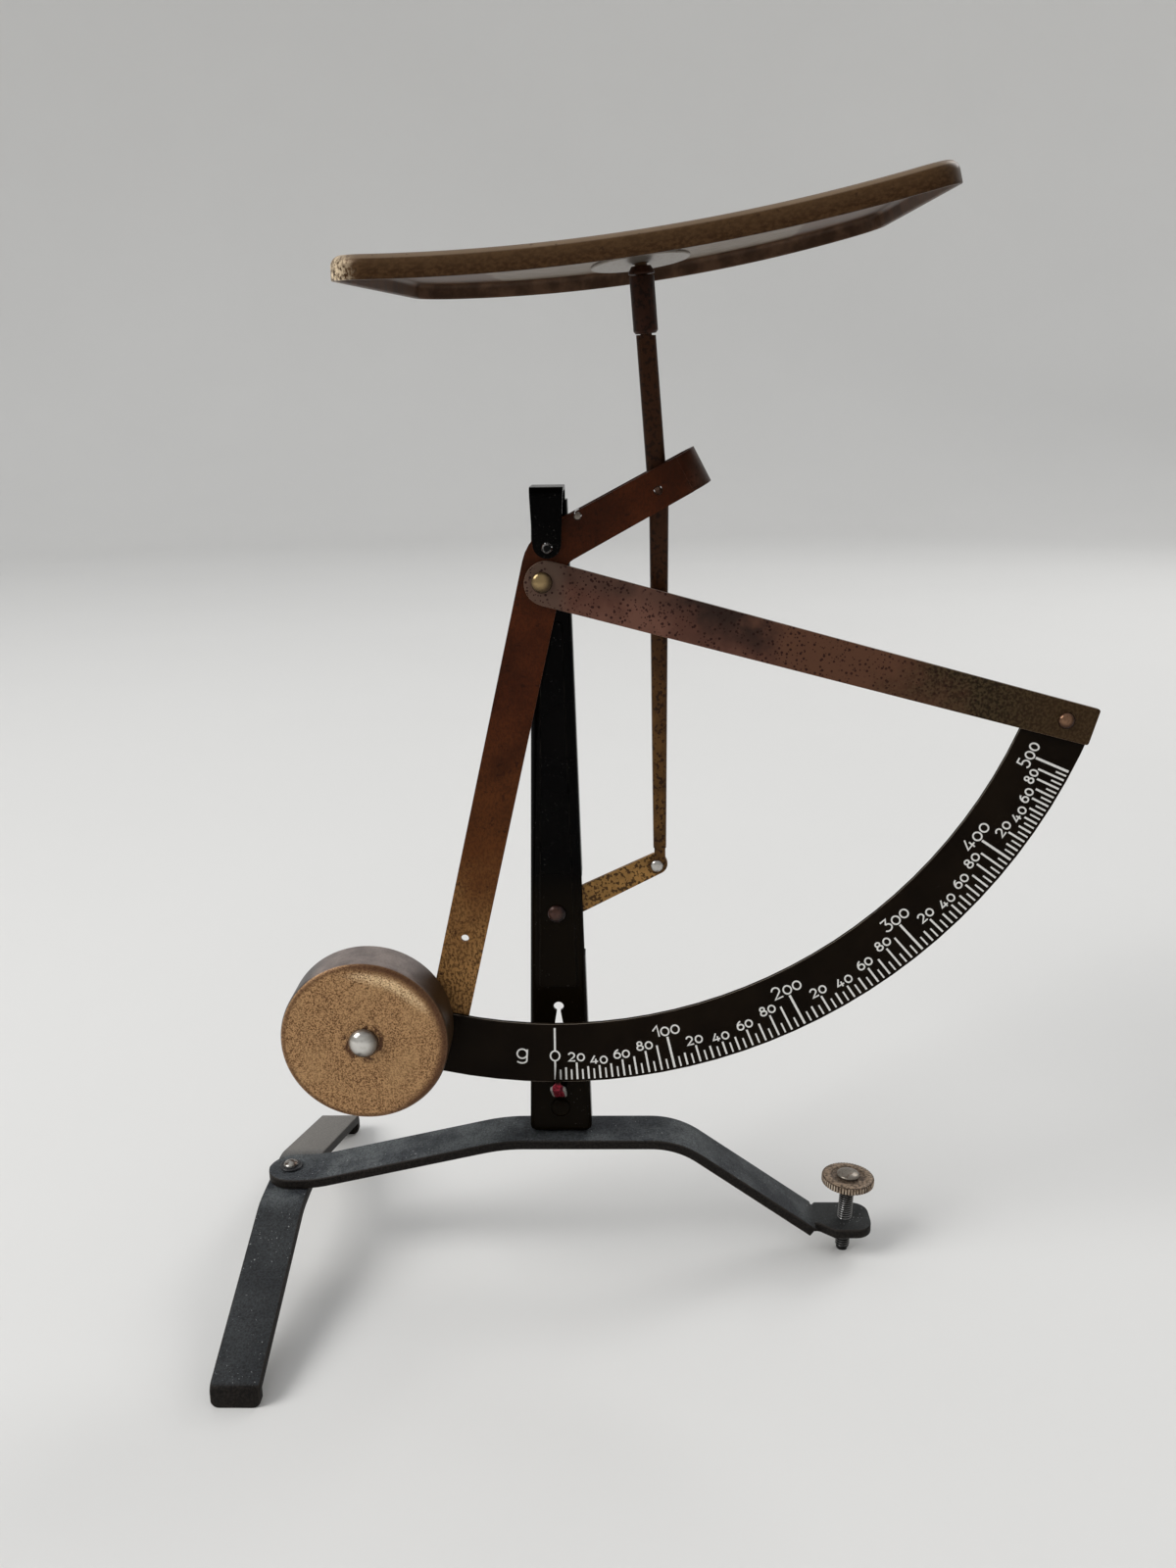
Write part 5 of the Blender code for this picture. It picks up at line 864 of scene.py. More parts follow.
def weight_gold():
    """The counterweight's lacquer: fine mottle, a painted highlight arc towards the top, red-brown rim and
    grey wall.
    """
    dark, gold, light_gold = (0.1, 0.043, 0.016), (0.47, 0.272, 0.125), (0.46, 0.28, 0.13)
    pitted, bright, ringed = (0.045, 0.018, 0.007), (0.86, 0.64, 0.38), (0.05, 0.016, 0.007)
    rim_browns, step_brown = ((0.05, 0.02, 0.009), (0.14, 0.06, 0.028)), (0.07, 0.028, 0.012)
    wall_greys, wall_rust = ((0.18, 0.15, 0.14), (0.3, 0.25, 0.225)), (0.1, 0.06, 0.035)
    wall_brown, wall_dull = (0.05, 0.026, 0.011), (0.085, 0.075, 0.07)
    f = Finish("weight_gold")
    radius = f.away(WEIGHT_CENTRE)
    aside = f.minus(f.x, WEIGHT_CENTRE.x)
    upwards = f.minus(f.z, WEIGHT_CENTRE.z)
    fine = f.noise(0.00045, 4, 0.8)
    cloud = f.noise(0.008, 4, 0.6)
    mottle = f.plus(f.both(fine, 0.75), f.both(f.noise(0.0008, 3, 0.7), 0.25))
    colour = f.mix(f.between(mottle, 0.42, 0.56), dark, gold)
    colour = f.over(colour, light_gold, f.between(cloud, 0.48, 0.68), 0.35)
    colour = f.over(colour, pitted, f.between(f.noise(0.0016, 3, 0.6), 0.69, 0.73), 0.8)
    # A painted highlight: a bright arc towards the top of the face.
    lit = f.between(f.math("MULTIPLY_ADD", aside, 0.5, upwards), *ARC_LIT)
    arc = f.both(f.band(radius, HIGHLIGHT_ARC_INSIDE, HIGHLIGHT_ARC_OUTSIDE), f.both(lit, f.between(fine, 0.4, 0.6)))
    colour = f.over(colour, bright, arc, 0.9)
    turned_away = f.plus(f.math("MULTIPLY_ADD", upwards, 0.3, aside), f.both(cloud, RIM_RAGGED))
    rim = f.both(f.between(radius, *RIM_BROWN), f.between(turned_away, *RIM_SIDE))
    colour = f.over(colour, f.mix(fine, *rim_browns), rim, 0.75)
    step = f.band(radius, STEP_INSIDE, STEP_OUTSIDE)
    colour = f.over(colour, step_brown, step, f.blend(cloud, 0.3, 0.9))
    ring = f.both(f.between(radius, *RIVET_RING), f.between(f.noise(0.0014, 2), 0.5, 0.58))
    colour = f.over(colour, ringed, ring, 0.85)
    grey = f.mix(f.between(cloud, 0.35, 0.65), *wall_greys)
    grey = f.over(grey, wall_rust, f.between(fine, 0.5, 0.66), 0.4)
    grey = f.mix(f.between(aside, *WALL_RIGHT), grey, wall_brown)
    grey = f.mix(f.between(aside, *WALL_LEFT), grey, wall_dull)
    colour = f.mix(f.between(radius, *(WEIGHT_RADIUS - reach for reach in WALL_START)), colour, grey)
    return f.done(colour, f.blend(fine, 0.34, 0.56), 0.3, fine, 0.00006, specular=0.2)


def tray_frame(f):
    """The place in the tray's own axes: along it, towards its rear edge and up."""
    back = TRAY_MATRIX.inverted()
    values = {"Vector": f.place, "Location": back.translation, "Rotation": back.to_euler()}
    return f.add("ShaderNodeMapping", values).outputs[0]


def tray_bronze():
    """Dark bronze lacquer with a fine grain, a painted highlight along the rim's bend, and a painted
    highlight on one front corner.
    """
    bronze, light_bronze, dull = (0.034, 0.015, 0.005), (0.064, 0.032, 0.0125), (0.082, 0.046, 0.02)
    # Here rubbed and bright are painted highlights, on the rim's bend and on one front corner.
    rubbed, bright, rusty = (0.25, 0.18, 0.12), (0.78, 0.62, 0.42), (0.02, 0.009, 0.004)
    f = Finish("tray_bronze")
    place = tray_frame(f)
    x, y, z = f.axes(place)
    grain = f.noise(1, 3, 0.6, f.stretched(TRAY_GRAIN, place=place))
    cloud = f.noise(0.014, 4, 0.6)
    colour = f.mix(f.between(grain, 0.34, 0.66), bronze, light_bronze)
    height = f.minus(z, f.both(f.both(x, x), 0.5 / TRAY_CURVE))
    colour = f.over(colour, dull, f.between(height, *FLANGE_BAND), f.blend(cloud, 0.25, 0.65))
    # Painted highlight: a light line where the rim's bend catches the light.
    colour = f.over(colour, rubbed, f.between(height, *RIM_HIGHLIGHT_LINE), f.blend(cloud, 0.4, 0.9))
    # Painted highlight: a sparkling bright patch on one front corner.
    end = f.between(f.minus(x, TRAY_SHIFT), *TRAY_HIGHLIGHT_END)
    corner = f.both(end, f.between(y, *TRAY_HIGHLIGHT_FRONT))
    colour = f.over(colour, bright, corner, f.between(f.noise(0.001, 3, 0.7), 0.4, 0.6))
    colour = f.over(colour, rusty, f.between(f.noise(0.0013, 2), 0.68, 0.74), 0.5)
    return f.done(colour, f.blend(grain, 0.28, 0.45), 0.2, grain, 0.00002, specular=0.1)


def tray_underside():
    """Dark brown lacquer inside the flange, with a bare grey field in the middle of the tray."""
    browns = (0.045, 0.021, 0.0095), (0.1, 0.053, 0.029)
    greys = (0.11, 0.082, 0.058), (0.2, 0.158, 0.118)
    f = Finish("tray_underside")
    place = tray_frame(f)
    x, y = f.axes(place)[:2]
    cloud = f.noise(0.006, 4, 0.6)
    drawn = f.noise(1, 4, 0.7, f.stretched(TRAY_DRAWN, place=place))
    brown = f.mix(f.between(cloud, 0.35, 0.65), *browns)
    grey = f.mix(f.between(drawn, 0.35, 0.65), *greys)
    along = f.ragged(f.math("ABSOLUTE", f.minus(x, TRAY_SHIFT)), cloud, FIELD_RAGGED)
    inside = f.ragged(f.math("ABSOLUTE", y), cloud, FIELD_RAGGED)
    field = f.both(f.between(along, *FIELD_LENGTH), f.between(inside, *FIELD_DEPTH))
    return f.done(f.mix(field, brown, grey), f.blend(cloud, 0.35, 0.55), 0.2, drawn, 0.00002, specular=0.2)


def bare_steel(name, light, rust, rough, metal=0.9, size=0.0012):
    """Bright metal with rust marks of about this size."""
    rust_brown = (0.09, 0.042, 0.02)
    f = Finish(name)
    colour = f.over(light, rust_brown, f.between(f.noise(size, 3), 0.54, 0.64), rust)
    fine = f.noise(0.0004, 2)
    return f.done(colour, f.blend(fine, rough, rough + 0.15), metal, fine, 0.00001)


def domed_steel(name, node, light, dark, rust=0.2, rough=0.16, metal=0.7):
    """A rivet's polished dome, darkened towards its rim by painted shade, brightest a little up and left as
    a painted highlight.
    """
    f = Finish(name)
    wide = RIVET_DOMES[node][0]
    colour = f.over(light, dark, f.between(f.noise(0.0008, 3), 0.56, 0.66), rust)
    # Painted shade towards the rim, round a painted highlight a little up and left.
    radius = f.away(middle(node) + DOME_LIGHT_SHIFT)
    colour = f.mix(f.between(radius, *(wide * share for share in DOME_SHADE)), colour, dark)
    return f.done(colour, rough, metal, f.noise(0.0005, 2), 0.00001)


def foot_rivet_steel():
    """A worn dome in a collar that the base's paint covers."""
    steel, rust_brown = (0.36, 0.34, 0.31), (0.07, 0.045, 0.032)
    paints = (0.02, 0.02, 0.021), (0.085, 0.085, 0.087)
    f = Finish("foot_rivet_steel")
    dome_colour = f.mix(f.between(f.noise(0.0016, 3), 0.42, 0.6), steel, rust_brown)
    paint = f.mix(f.noise(0.0007, 3), *paints)
    colour = f.mix(f.between(f.away(FOOT_PIVOT, UPWARDS), *FOOT_RIVET_PAINT), dome_colour, paint)
    return f.done(colour, 0.24, 0.6, f.noise(0.0008, 3), 0.00004)


def pin_black():
    """A lacquered pin end with a painted highlight on its rim."""
    f = Finish("pin_black")
    # Painted highlight: a light arc on the pin's rim.
    rim = f.both(f.between(f.away(FULCRUM), *PIN_RIM_HIGHLIGHT), f.between(f.noise(0.0016), 0.45, 0.56))
    colour = f.mix(rim, (0.003, 0.0028, 0.0026), (0.13, 0.125, 0.12))
    return f.done(colour, 0.25, 0.3, f.noise(0.0004), 0.00001, specular=0.1)


def thread_steel():
    """Dark oiled steel with painted highlights on its crests."""
    oily = (0.008, 0.0075, 0.007)
    crest_highlights = (0.16, 0.157, 0.15), (0.26, 0.255, 0.25)
    f = Finish("thread_steel")
    radius = f.away(SCREW_FOOT, SCREW_AXIS)
    # Painted highlight on the thread's crests.
    crest = f.between(radius, *(THREAD_RADIUS - THREAD_DEPTH * share for share in THREAD_HIGHLIGHT))
    colour = f.mix(crest, oily, f.mix(f.noise(0.004, 2), *crest_highlights))
    return f.done(colour, 0.3, 0.7)


def head_tan():
    """The screw head's dull tan, darker in the ring round the dome, with painted shade in the knurl's
    grooves and its crests rubbed light, partly a painted highlight.
    """
    tans = (0.085, 0.06, 0.042), (0.29, 0.21, 0.145)
    # dirty is painted shade in the knurl's grooves; rubbed is partly a painted highlight on the crests
    ringed, groove_shade, rubbed = (0.05, 0.036, 0.027), (0.03, 0.02, 0.014), (0.5, 0.42, 0.33)
    f = Finish("head_tan")
    radius = f.away(SCREW_FOOT, SCREW_AXIS)
    fine = f.noise(0.0007, 3)
    colour = f.mix(f.between(fine, 0.36, 0.62), *tans)
    ring = f.both(f.between(radius, *HEAD_RING), f.between(f.noise(0.002), 0.25, 0.5))
    colour = f.over(colour, ringed, ring, 0.55)
    low = HEAD_RADIUS - KNURL_DEPTH
    to_crest, to_floor = GROOVE_END
    # Painted shade in the knurl's grooves.
    groove = f.band(radius, (low - GROOVE_START, low), (HEAD_RADIUS - to_crest, low + to_floor))
    colour = f.over(colour, groove_shade, groove, 0.8)
    # The knurl's crests rubbed light, partly a painted highlight.
    crest = f.between(radius, *(HEAD_RADIUS - reach for reach in KNURL_CREST_HIGHLIGHT))
    colour = f.over(colour, rubbed, crest, f.between(f.noise(0.003), 0.35, 0.6))
    return f.done(colour, f.blend(fine, 0.32, 0.5), 0.3, fine, 0.00004, specular=0.15)


def cast_lead():
    """Grey cast metal with a grainy skin."""
    f = Finish("cast_lead")
    grain = f.noise(0.0009, 4, 0.7)
    colour = f.mix(grain, (0.16, 0.16, 0.17), (0.32, 0.32, 0.33))
    return f.done(colour, 0.6, 0.7, grain, 0.0001)


# Stand


def base_bar():
    """The arched bar, from the round end over the foot to the lug of the levelling screw.

    Its half width is the lesser of its two rounded ends', less the notches beside the lug.
    """
    half = BAR_THICKNESS / 2
    crown, lug = BAR_TOP - half, BAR_LUG_TOP - half
    bend = BAR_CROWN_RIGHT + (crown - lug) / math.tan(BAR_RIGHT_SLOPE)
    corners = [
        (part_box("base_bar")[0].x - FULCRUM.x, BAR_LEFT_TOP - half, 0),
        (BAR_LEFT_BEND, BAR_LEFT_TOP - half, BAR_LEFT_BEND_RADIUS),
        (BAR_CROWN_LEFT, crown, BAR_CROWN_LEFT_RADIUS),
        (BAR_CROWN_RIGHT, crown, BAR_CROWN_RIGHT_RADIUS),
        (bend, lug, BAR_LUG_RADIUS),
        (BAR_RIGHT_END, lug, 0),
    ]
    flat = rounded_line(corners, step=ARC_STEP / 2)
    line = np.stack([flat[:, 0] + FULCRUM.x, np.full(len(flat), FOOT_PIVOT.y), flat[:, 1]], -1)
    along = distances(line)
    length = along[-1]
    bend_at = np.interp(bend + FULCRUM.x, line[:, 0], along)
    ease = 1 - np.cos(BAR_END_STEPS)
    notch = bend_at + np.array([*LUG_REAR_NOTCH[0], *LUG_FRONT_NOTCH[0]])
    line = spread(line, np.concatenate([BAR_HALF_WIDTH * ease, length - BAR_CORNER * ease, notch]))
    along = distances(line)
    left = end_width(along, BAR_HALF_WIDTH, BAR_HALF_WIDTH)
    right = end_width(length - along, BAR_CORNER, BAR_HALF_WIDTH)
    whole = np.maximum(BAR_NARROWEST, np.minimum(left, right))
    widths = [whole - np.interp(along - bend_at, *cut) for cut in (LUG_REAR_NOTCH, LUG_FRONT_NOTCH)]
    bar = strip("base_bar_stock", line, widths, BACKWARDS, BAR_THICKNESS, BAR_EDGE)
    return dress(bar, "stand", PAINT, "base_paint", "base_bar")


def cross_foot():
    """The arched cross foot with its turned-down toes, the same to both sides of its pivot."""
    crown = FOOT_TOP - BAR_THICKNESS / 2
    toe = FOOT_HALF_LENGTH - BAR_THICKNESS / 2
    drop = crown - (toe - FOOT_FLAT_HALF) * math.tan(FOOT_SLOPE)
    half = [(toe, 0, 0), (toe, drop, TOE_BEND_RADIUS), (FOOT_FLAT_HALF, crown, FOOT_BEND_RADIUS)]
    flat = rounded_line([(-y, z, r) for y, z, r in half] + half[::-1], step=ARC_STEP / 2)
    line = np.stack([np.full(len(flat), FOOT_PIVOT.x), flat[:, 0] + FOOT_PIVOT.y, flat[:, 1]], -1)
    length = distances(line)[-1]
    ends = FOOT_CORNER * (1 - np.cos(FOOT_END_STEPS))
    line = spread(line, np.concatenate([ends, length - ends]))
    along = distances(line)
    widths = [end_width(np.minimum(along, length - along), FOOT_CORNER, FOOT_HALF_WIDTH)] * 2
    foot = strip("cross_foot_stock", line, widths, RIGHTWARDS, BAR_THICKNESS, BAR_EDGE)
    return dress(foot, "foot", PAINT, "base_paint", "cross_foot")


def foot_rivet():
    """The rivet through bar and foot, turned: a dome on a collar, a shank and a set tail."""
    top = FOOT_PIVOT.z + COLLAR_RAISE
    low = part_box("foot_rivet")[0].z - top
    collar = rounded_line(
        [
            (FOOT_DOME_RADIUS, COLLAR_HEIGHT, 0),
            (COLLAR_RADIUS, COLLAR_HEIGHT, COLLAR_UPPER_ROUND),
            (COLLAR_RADIUS, 0, COLLAR_LOWER_ROUND),
            (FOOT_SHANK, 0, 0),
        ]
    )
    tail = [
        (FOOT_SHANK, low + FOOT_TAIL_HEIGHT),
        (FOOT_TAIL_RADIUS, low + FOOT_TAIL_RIM),
        (FOOT_DOME_RADIUS, low),
        (0, low),
    ]
    profile = np.concatenate([dome(FOOT_DOME_RADIUS, FOOT_DOME_HEIGHT, COLLAR_HEIGHT), collar, tail])
    rivet = turned("foot_rivet_dome", profile, (FOOT_PIVOT.x, FOOT_PIVOT.y, top), UPWARDS)
    return dress(rivet, "stand", FOOT_STEEL, "bright_steel", "foot_rivet")


def levelling_stud():
    """A threaded rod: its radius rises and falls once each pitch along a helix. Its end is a dome."""
    low, high = THREAD_START, HEAD_BOTTOM - THREAD_STOP
    rows = np.linspace(low, high, int((high - low) / THREAD_PITCH * ROWS_PER_TURN))
    turn = even_turns(SCREW_SIDES)
    ring, along = ring_round(SCREW_AXIS, turn)
    phase = (rows[:, None] / THREAD_PITCH - turn / (2 * math.pi)) % 1
    share = np.clip(np.abs(phase * 2 - 1) * THREAD_STEEPNESS - THREAD_CREST, 0, 1)
    whole = np.clip((rows[:, None] - low) / THREAD_RUN_IN, 0, 1)
    radius = (THREAD_RADIUS - THREAD_DEPTH * share) * (TIP_SHARE + (1 - TIP_SHARE) * whole)
    points = np.array(SCREW_FOOT) + radius[..., None] * ring + rows[:, None, None] * along
    tip = np.array(SCREW_FOOT) + TIP_RADIUS * ring
    points = np.concatenate([tip[None], points])
    stud = surface("levelling_stud_thread", points, wrap_columns=True, capped=True)
    dress(stud, "screw_stud", THREAD, "dark_steel", "levelling_stud")
    top = HEAD_BOTTOM + HEAD_THICKNESS + CAP_RAISE
    shank_foot = HEAD_BOTTOM - CAP_SHANK_REACH
    shank = [(CAP_SHANK, top), (CAP_SHANK, shank_foot), (0, shank_foot)]
    profile = np.concatenate([dome(CAP_RADIUS, CAP_HEIGHT, top), shank])
    cap = turned("levelling_stud_dome", profile, SCREW_FOOT, SCREW_AXIS)
    return dress(cap, "screw_stud", DOME_TAN, "dark_steel")


def levelling_head():
    """The knurled head: a turned disc whose rim carries shallow V grooves."""
    top = HEAD_BOTTOM + HEAD_THICKNESS
    dish = top - HEAD_DISH_DEPTH
    corners = [
        (HEAD_BORE, dish, 0),
        (HEAD_DISH, dish, HEAD_DISH_ROUND),
        (HEAD_DISH_RIM, top, HEAD_DISH_ROUND),
        (HEAD_TOP_FLAT, top, 0),
        (HEAD_RADIUS, top - HEAD_TOP_DROP, HEAD_TOP_ROUND),
        (HEAD_RADIUS, HEAD_BOTTOM + HEAD_LOW_RISE, HEAD_LOW_ROUND),
        (HEAD_LOW_FLAT, HEAD_BOTTOM, 0),
        (HEAD_BORE, HEAD_BOTTOM, 0),
    ]
    profile = spread(rounded_line(corners, step=HEAD_ARC_STEP), HEAD_ROWS)
    turn = even_turns(KNURLS * KNURL_SIDES)
    ring, along = ring_round(SCREW_AXIS, turn)
    ridge = np.abs(np.sin(turn * KNURLS / 2)) ** KNURL_SHARPNESS
    rim = np.clip((profile[:, :1] - KNURL_START) / KNURL_RUN_IN, 0, 1)
    radius = profile[:, :1] - rim * KNURL_DEPTH * (1 - ridge)
    points = np.array(SCREW_FOOT) + radius[..., None] * ring + profile[:, None, 1:] * along
    head = surface("levelling_head_knurled", points, wrap_rows=True, wrap_columns=True)
    return dress(head, "screw_head", HEAD_TAN, "speckled_brass", "levelling_head")


def post_pieces():
    """The post and its bracket, the rivets and the pin in them, and the bracket's two rivets."""
    refined("post", "stand", BLACK, "black_lacquer")
    refined("post_bracket", "stand", BLACK, "black_lacquer")
    rivet_on("post_bracket_rivet", "stand", BLACK, "black_lacquer")
    rivet_on("link_post_rivet", "stand", RIVET_BROWN, "speckled_brass")
    rivet_on("fulcrum_pin", "stand", PIN_BLACK, "bright_steel")
    for side in ("left", "right"):
        node = f"bracket_foot_rivet_{side}"
        low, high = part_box(node)
        neck = high.z - low.z - BRACKET_RIVET_HEIGHT
        tail = [
            (BRACKET_RIVET_SHANK, neck),
            (BRACKET_RIVET_SHANK, BRACKET_RIVET_HEIGHT),
            (BRACKET_RIVET_RADIUS, BRACKET_RIVET_HEIGHT),
            (BRACKET_RIVET_SHANK, 0),
            (0, 0),
        ]
        profile = np.concatenate([dome(BRACKET_RIVET_RADIUS, BRACKET_RIVET_HEIGHT, neck), tail])
        place = ((low.x + high.x) / 2, (low.y + high.y) / 2, low.z)
        rivet = turned(f"bracket_rivet_{side}", profile, place, UPWARDS, BRACKET_RIVET_SIDES)
        dress(rivet, "stand", BRIGHT, "bright_steel", node)


def rivet_on(node, body, material, slot):
    """A rivet turned along Y in its solid's box: a dome with a fine rim, a shank and a low tail."""
    low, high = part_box(node)
    radius, height = RIVET_DOMES[node]
    tail = RIVET_LONG_TAILS.get(node, RIVET_TAIL)
    reach = high.y - low.y
    neck = reach - height
    wide = (high.x - low.x) / 2
    shank = min(wide, radius) * RIVET_SHANK_SHARE
    profile = [dome(radius, height, neck)]
    if reach > height + tail + RIVET_LEAST_GRIP:
        profile.append([(radius * RIVET_RIM_SHARE, neck - RIVET_RIM), (shank, neck - RIVET_SEAT)])
        profile.append([(shank, tail), (wide * RIVET_RIM_SHARE, tail), (wide * RIVET_TAIL_SHARE, 0), (0, 0)])
    else:
        profile.append([(radius, 0), (0, 0)])
    place = ((low.x + high.x) / 2, high.y, (low.z + high.z) / 2)
    rivet = turned(f"{node}_dome", np.concatenate(profile), place, FORWARDS)
    return dress(rivet, body, material, slot, node)


# Balance


def lever_pieces():
    """Lever, scale arm and dial, with the rivets and pins that ride on them."""
    refined("lever", "lever", LEVER_BROWN, "brown_lacquer")
    refined("scale_arm", "lever", ARM_BROWN, "brown_lacquer")
    refined("scale_quadrant", "lever", DIAL_BLACK, "dial_black")
    rivet_on("scale_arm_inner_rivet", "lever", INNER_BRASS, "brass")
    rivet_on("scale_arm_outer_rivet", "lever", OUTER_BRASS, "brass")
    rivet_on("fork_pin", "lever", PIN_BROWN, "dark_steel")
    rivet_on("fork_spacer", "lever", DISC_STEEL, "bright_steel")


def counterweight():
    """The pressed cup, turned: a face with a rounded edge and a thin wall. Its rivet is a dome."""
    low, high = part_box("counterweight_shell")
    depth = high.y - low.y
    inside = WEIGHT_RADIUS - WEIGHT_WALL
    corners = [
        (WEIGHT_BORE, depth, 0),
        (WEIGHT_RADIUS, depth, WEIGHT_EDGE),
        (WEIGHT_RADIUS, 0, WEIGHT_LIP_ROUND),
        (inside, 0, 0),
        (inside, depth - WEIGHT_WALL, WEIGHT_INNER_ROUND),
        (WEIGHT_BORE, depth - WEIGHT_WALL, 0),
    ]
    profile = spread(rounded_line(corners, step=WEIGHT_ARC_STEP), WEIGHT_ROWS)
    place = (WEIGHT_CENTRE.x, high.y, WEIGHT_CENTRE.z)
    shell = turned("counterweight_cup", profile, place, FORWARDS, WEIGHT_SIDES, closed=True)
    dress(shell, "lever", WEIGHT_GOLD, "speckled_brass", "counterweight_shell")
    rivet_on("counterweight_rivet", "lever", WEIGHT_STEEL, "bright_steel")


def link_and_rod():
    """The lower link and the tray's rod, with the rivet between them."""
    refined("lower_link", "link", LINK_GOLD, "speckled_brass")
    refined("tray_rod", "rod", ROD_GOLD, "speckled_brass")
    rivet_on("link_rod_rivet", "rod", BRIGHT, "bright_steel")


# Dial print


def bow(x, y, wide, high, start, end):
    """Points of an ellipse's arc, angles in degrees, counter-clockwise from the right."""
    t = np.radians(np.linspace(start, end, max(BOW_LEAST, int(abs(end - start) / BOW_STEP))))
    return np.stack([x + wide * np.cos(t), y + high * np.sin(t)], -1)


def straight(*points):
    return np.array(points, float)


def digit_strokes(mark):
    """Centre lines of one character's strokes, one unit high, and its width."""
    two = np.concatenate([bow(0.38, 0.68, 0.36, 0.32, 165, -35), straight((0.02, 0), (0.82, 0))])
    gram_tail = np.concatenate([straight((0.66, 1)), bow(0.33, 0.2, 0.33, 0.2, 0, -150)])
    strokes = {
        "0": ([bow(0.5, 0.5, 0.5, 0.5, 0, 360)], 1.0),
        "1": ([straight((0, 0.6), (0.48, 1), (0.5, 0))], 0.52),
        "2": ([two], 0.82),
        "3": ([straight((0.06, 1), (0.68, 1), (0.34, 0.6)), bow(0.36, 0.3, 0.38, 0.3, 95, -155)], 0.74),
        "4": ([straight((0.52, 1), (0, 0.26), (0.88, 0.26)), straight((0.62, 0.6), (0.58, 0))], 0.88),
        "5": ([straight((0.68, 1), (0.16, 1), (0.1, 0.56)), bow(0.36, 0.31, 0.38, 0.31, 130, -150)], 0.74),
        "6": ([bow(0.39, 0.32, 0.38, 0.32, 0, 360), bow(0.66, 0.32, 0.65, 0.68, 178, 95)], 0.77),
        "8": ([bow(0.39, 0.27, 0.37, 0.27, 0, 360), bow(0.39, 0.77, 0.28, 0.23, 0, 360)], 0.78),
        "g": ([bow(0.33, 0.67, 0.33, 0.33, 0, 360), gram_tail], 0.66),
    }
    return strokes[mark]


def ink_bar(points, width, layer):
    """A stroke of ink: a flat ribbon of even width with a little thickness, as a grid of rings.

    Its sides lie half a width from the centre line, mitred where that turns. Each ring holds
    four corners: left and right of the stroke, at the front and at the back.
    """
    run = np.diff(points, axis=0)
    run /= np.maximum(np.linalg.norm(run, axis=1, keepdims=True), TINY)
    before, after = np.vstack([run[:1], run]), np.vstack([run, run[-1:]])
    if np.allclose(points[0], points[-1]):
        before[0], after[-1] = run[-1], run[0]
    ahead = before + after
    ahead /= np.maximum(np.linalg.norm(ahead, axis=1, keepdims=True), TINY)
    mitre = 1 / np.maximum(MITRE_LEAST, np.sum(ahead * before, axis=1, keepdims=True))
    side = np.stack([-ahead[:, 1], ahead[:, 0]], -1) * mitre * width / 2
    front = PRINT_PROUD + layer * PRINT_LAYER
    left, right = points + side, points - side
    rings = [(left, front), (right, front), (right, -PRINT_SUNK), (left, -PRINT_SUNK)]
    return np.stack([np.concatenate([p, np.full((len(p), 1), y)], 1) for p, y in rings], 1)


def on_dial(rings, angle, radius):
    """Set flat rings (right, up, out) at an angle from straight down and a radius from the fulcrum."""
    outward = np.array([math.sin(angle), 0, -math.cos(angle)])
    right = np.array([math.cos(angle), 0, math.sin(angle)])
    base = np.array([FULCRUM.x, DIAL_FRONT, FULCRUM.z]) + outward * radius
    across, up, out = (rings[..., k, None] for k in range(3))
    return base + across * right - up * outward + out * np.array(FORWARDS)


def ink_mesh(name, strokes):
    """One mesh from many strokes, each a bar closed at both ends."""
    faces, start = [], 0
    for rings in strokes:
        rows, corners = rings.shape[:2]
        count = rows * corners
        ends = np.array([np.arange(corners), np.arange(count - corners, count)])
        sides = grid_faces(rows, corners, wrap_columns=True)
        faces += (np.concatenate([sides, ends]) + start).tolist()
        start += count
    points = np.concatenate([rings.reshape(-1, 3) for rings in strokes])
    return dress(new_piece(name, points, faces, merged=False), "lever", INK, "dial_black")


def mark_angle(grams):
    """The angle of a mark: the smooth curve through the places of the hundreds."""
    hundreds = np.arange(len(MARK_HUNDREDS))
    curve = np.polyfit(hundreds, MARK_HUNDREDS, len(MARK_HUNDREDS) - 1)
    return math.radians(np.polyval(curve, grams / 100))


def mark_length(grams):
    if grams % 10:
        return MARK_FIVE
    return MARK_LENGTHS[grams % 100]


def dial_marks():
    """A radial line every five grams, longer for tens and longest for hundreds, and the zero line."""
    strokes = []
    for grams in range(MARK_STEP, MARK_LAST + 1, MARK_STEP):
        width = MARK_WIDTHS[(grams % 10 == 0) + (grams % 100 == 0)]
        line = straight((0, 0), (0, mark_length(grams)))
        strokes.append(on_dial(ink_bar(line, width, 0), mark_angle(grams), MARK_FOOT))
    for low, high in ZERO_LINES:
        line = straight((0, 0), (0, low - high))
        strokes.append(on_dial(ink_bar(line, MARK_WIDTHS[1], 0), mark_angle(0), low))
    return ink_mesh("dial_marks", strokes)


def label_strokes(text, height, zero, angle, radius, narrow=1.0):
    """The strokes of a number, centred on its angle, with its foot at this radius.

    Noughts have their own height. Each stroke lies a little prouder than the last.
    """
    placed_strokes, x = [], 0
    for mark in text:
        scale = (zero if mark == "0" else height) - STROKE
        strokes, wide = digit_strokes(mark)
        placed_strokes += [points * (scale * narrow, scale) + (x, STROKE / 2) for points in strokes]
        x += wide * scale * narrow + STROKE + LETTER_GAP
    centre = (x - STROKE - LETTER_GAP) / 2
    return [
        on_dial(ink_bar(points - (centre, 0), STROKE, layer), angle, radius)
        for layer, points in enumerate(placed_strokes)
    ]


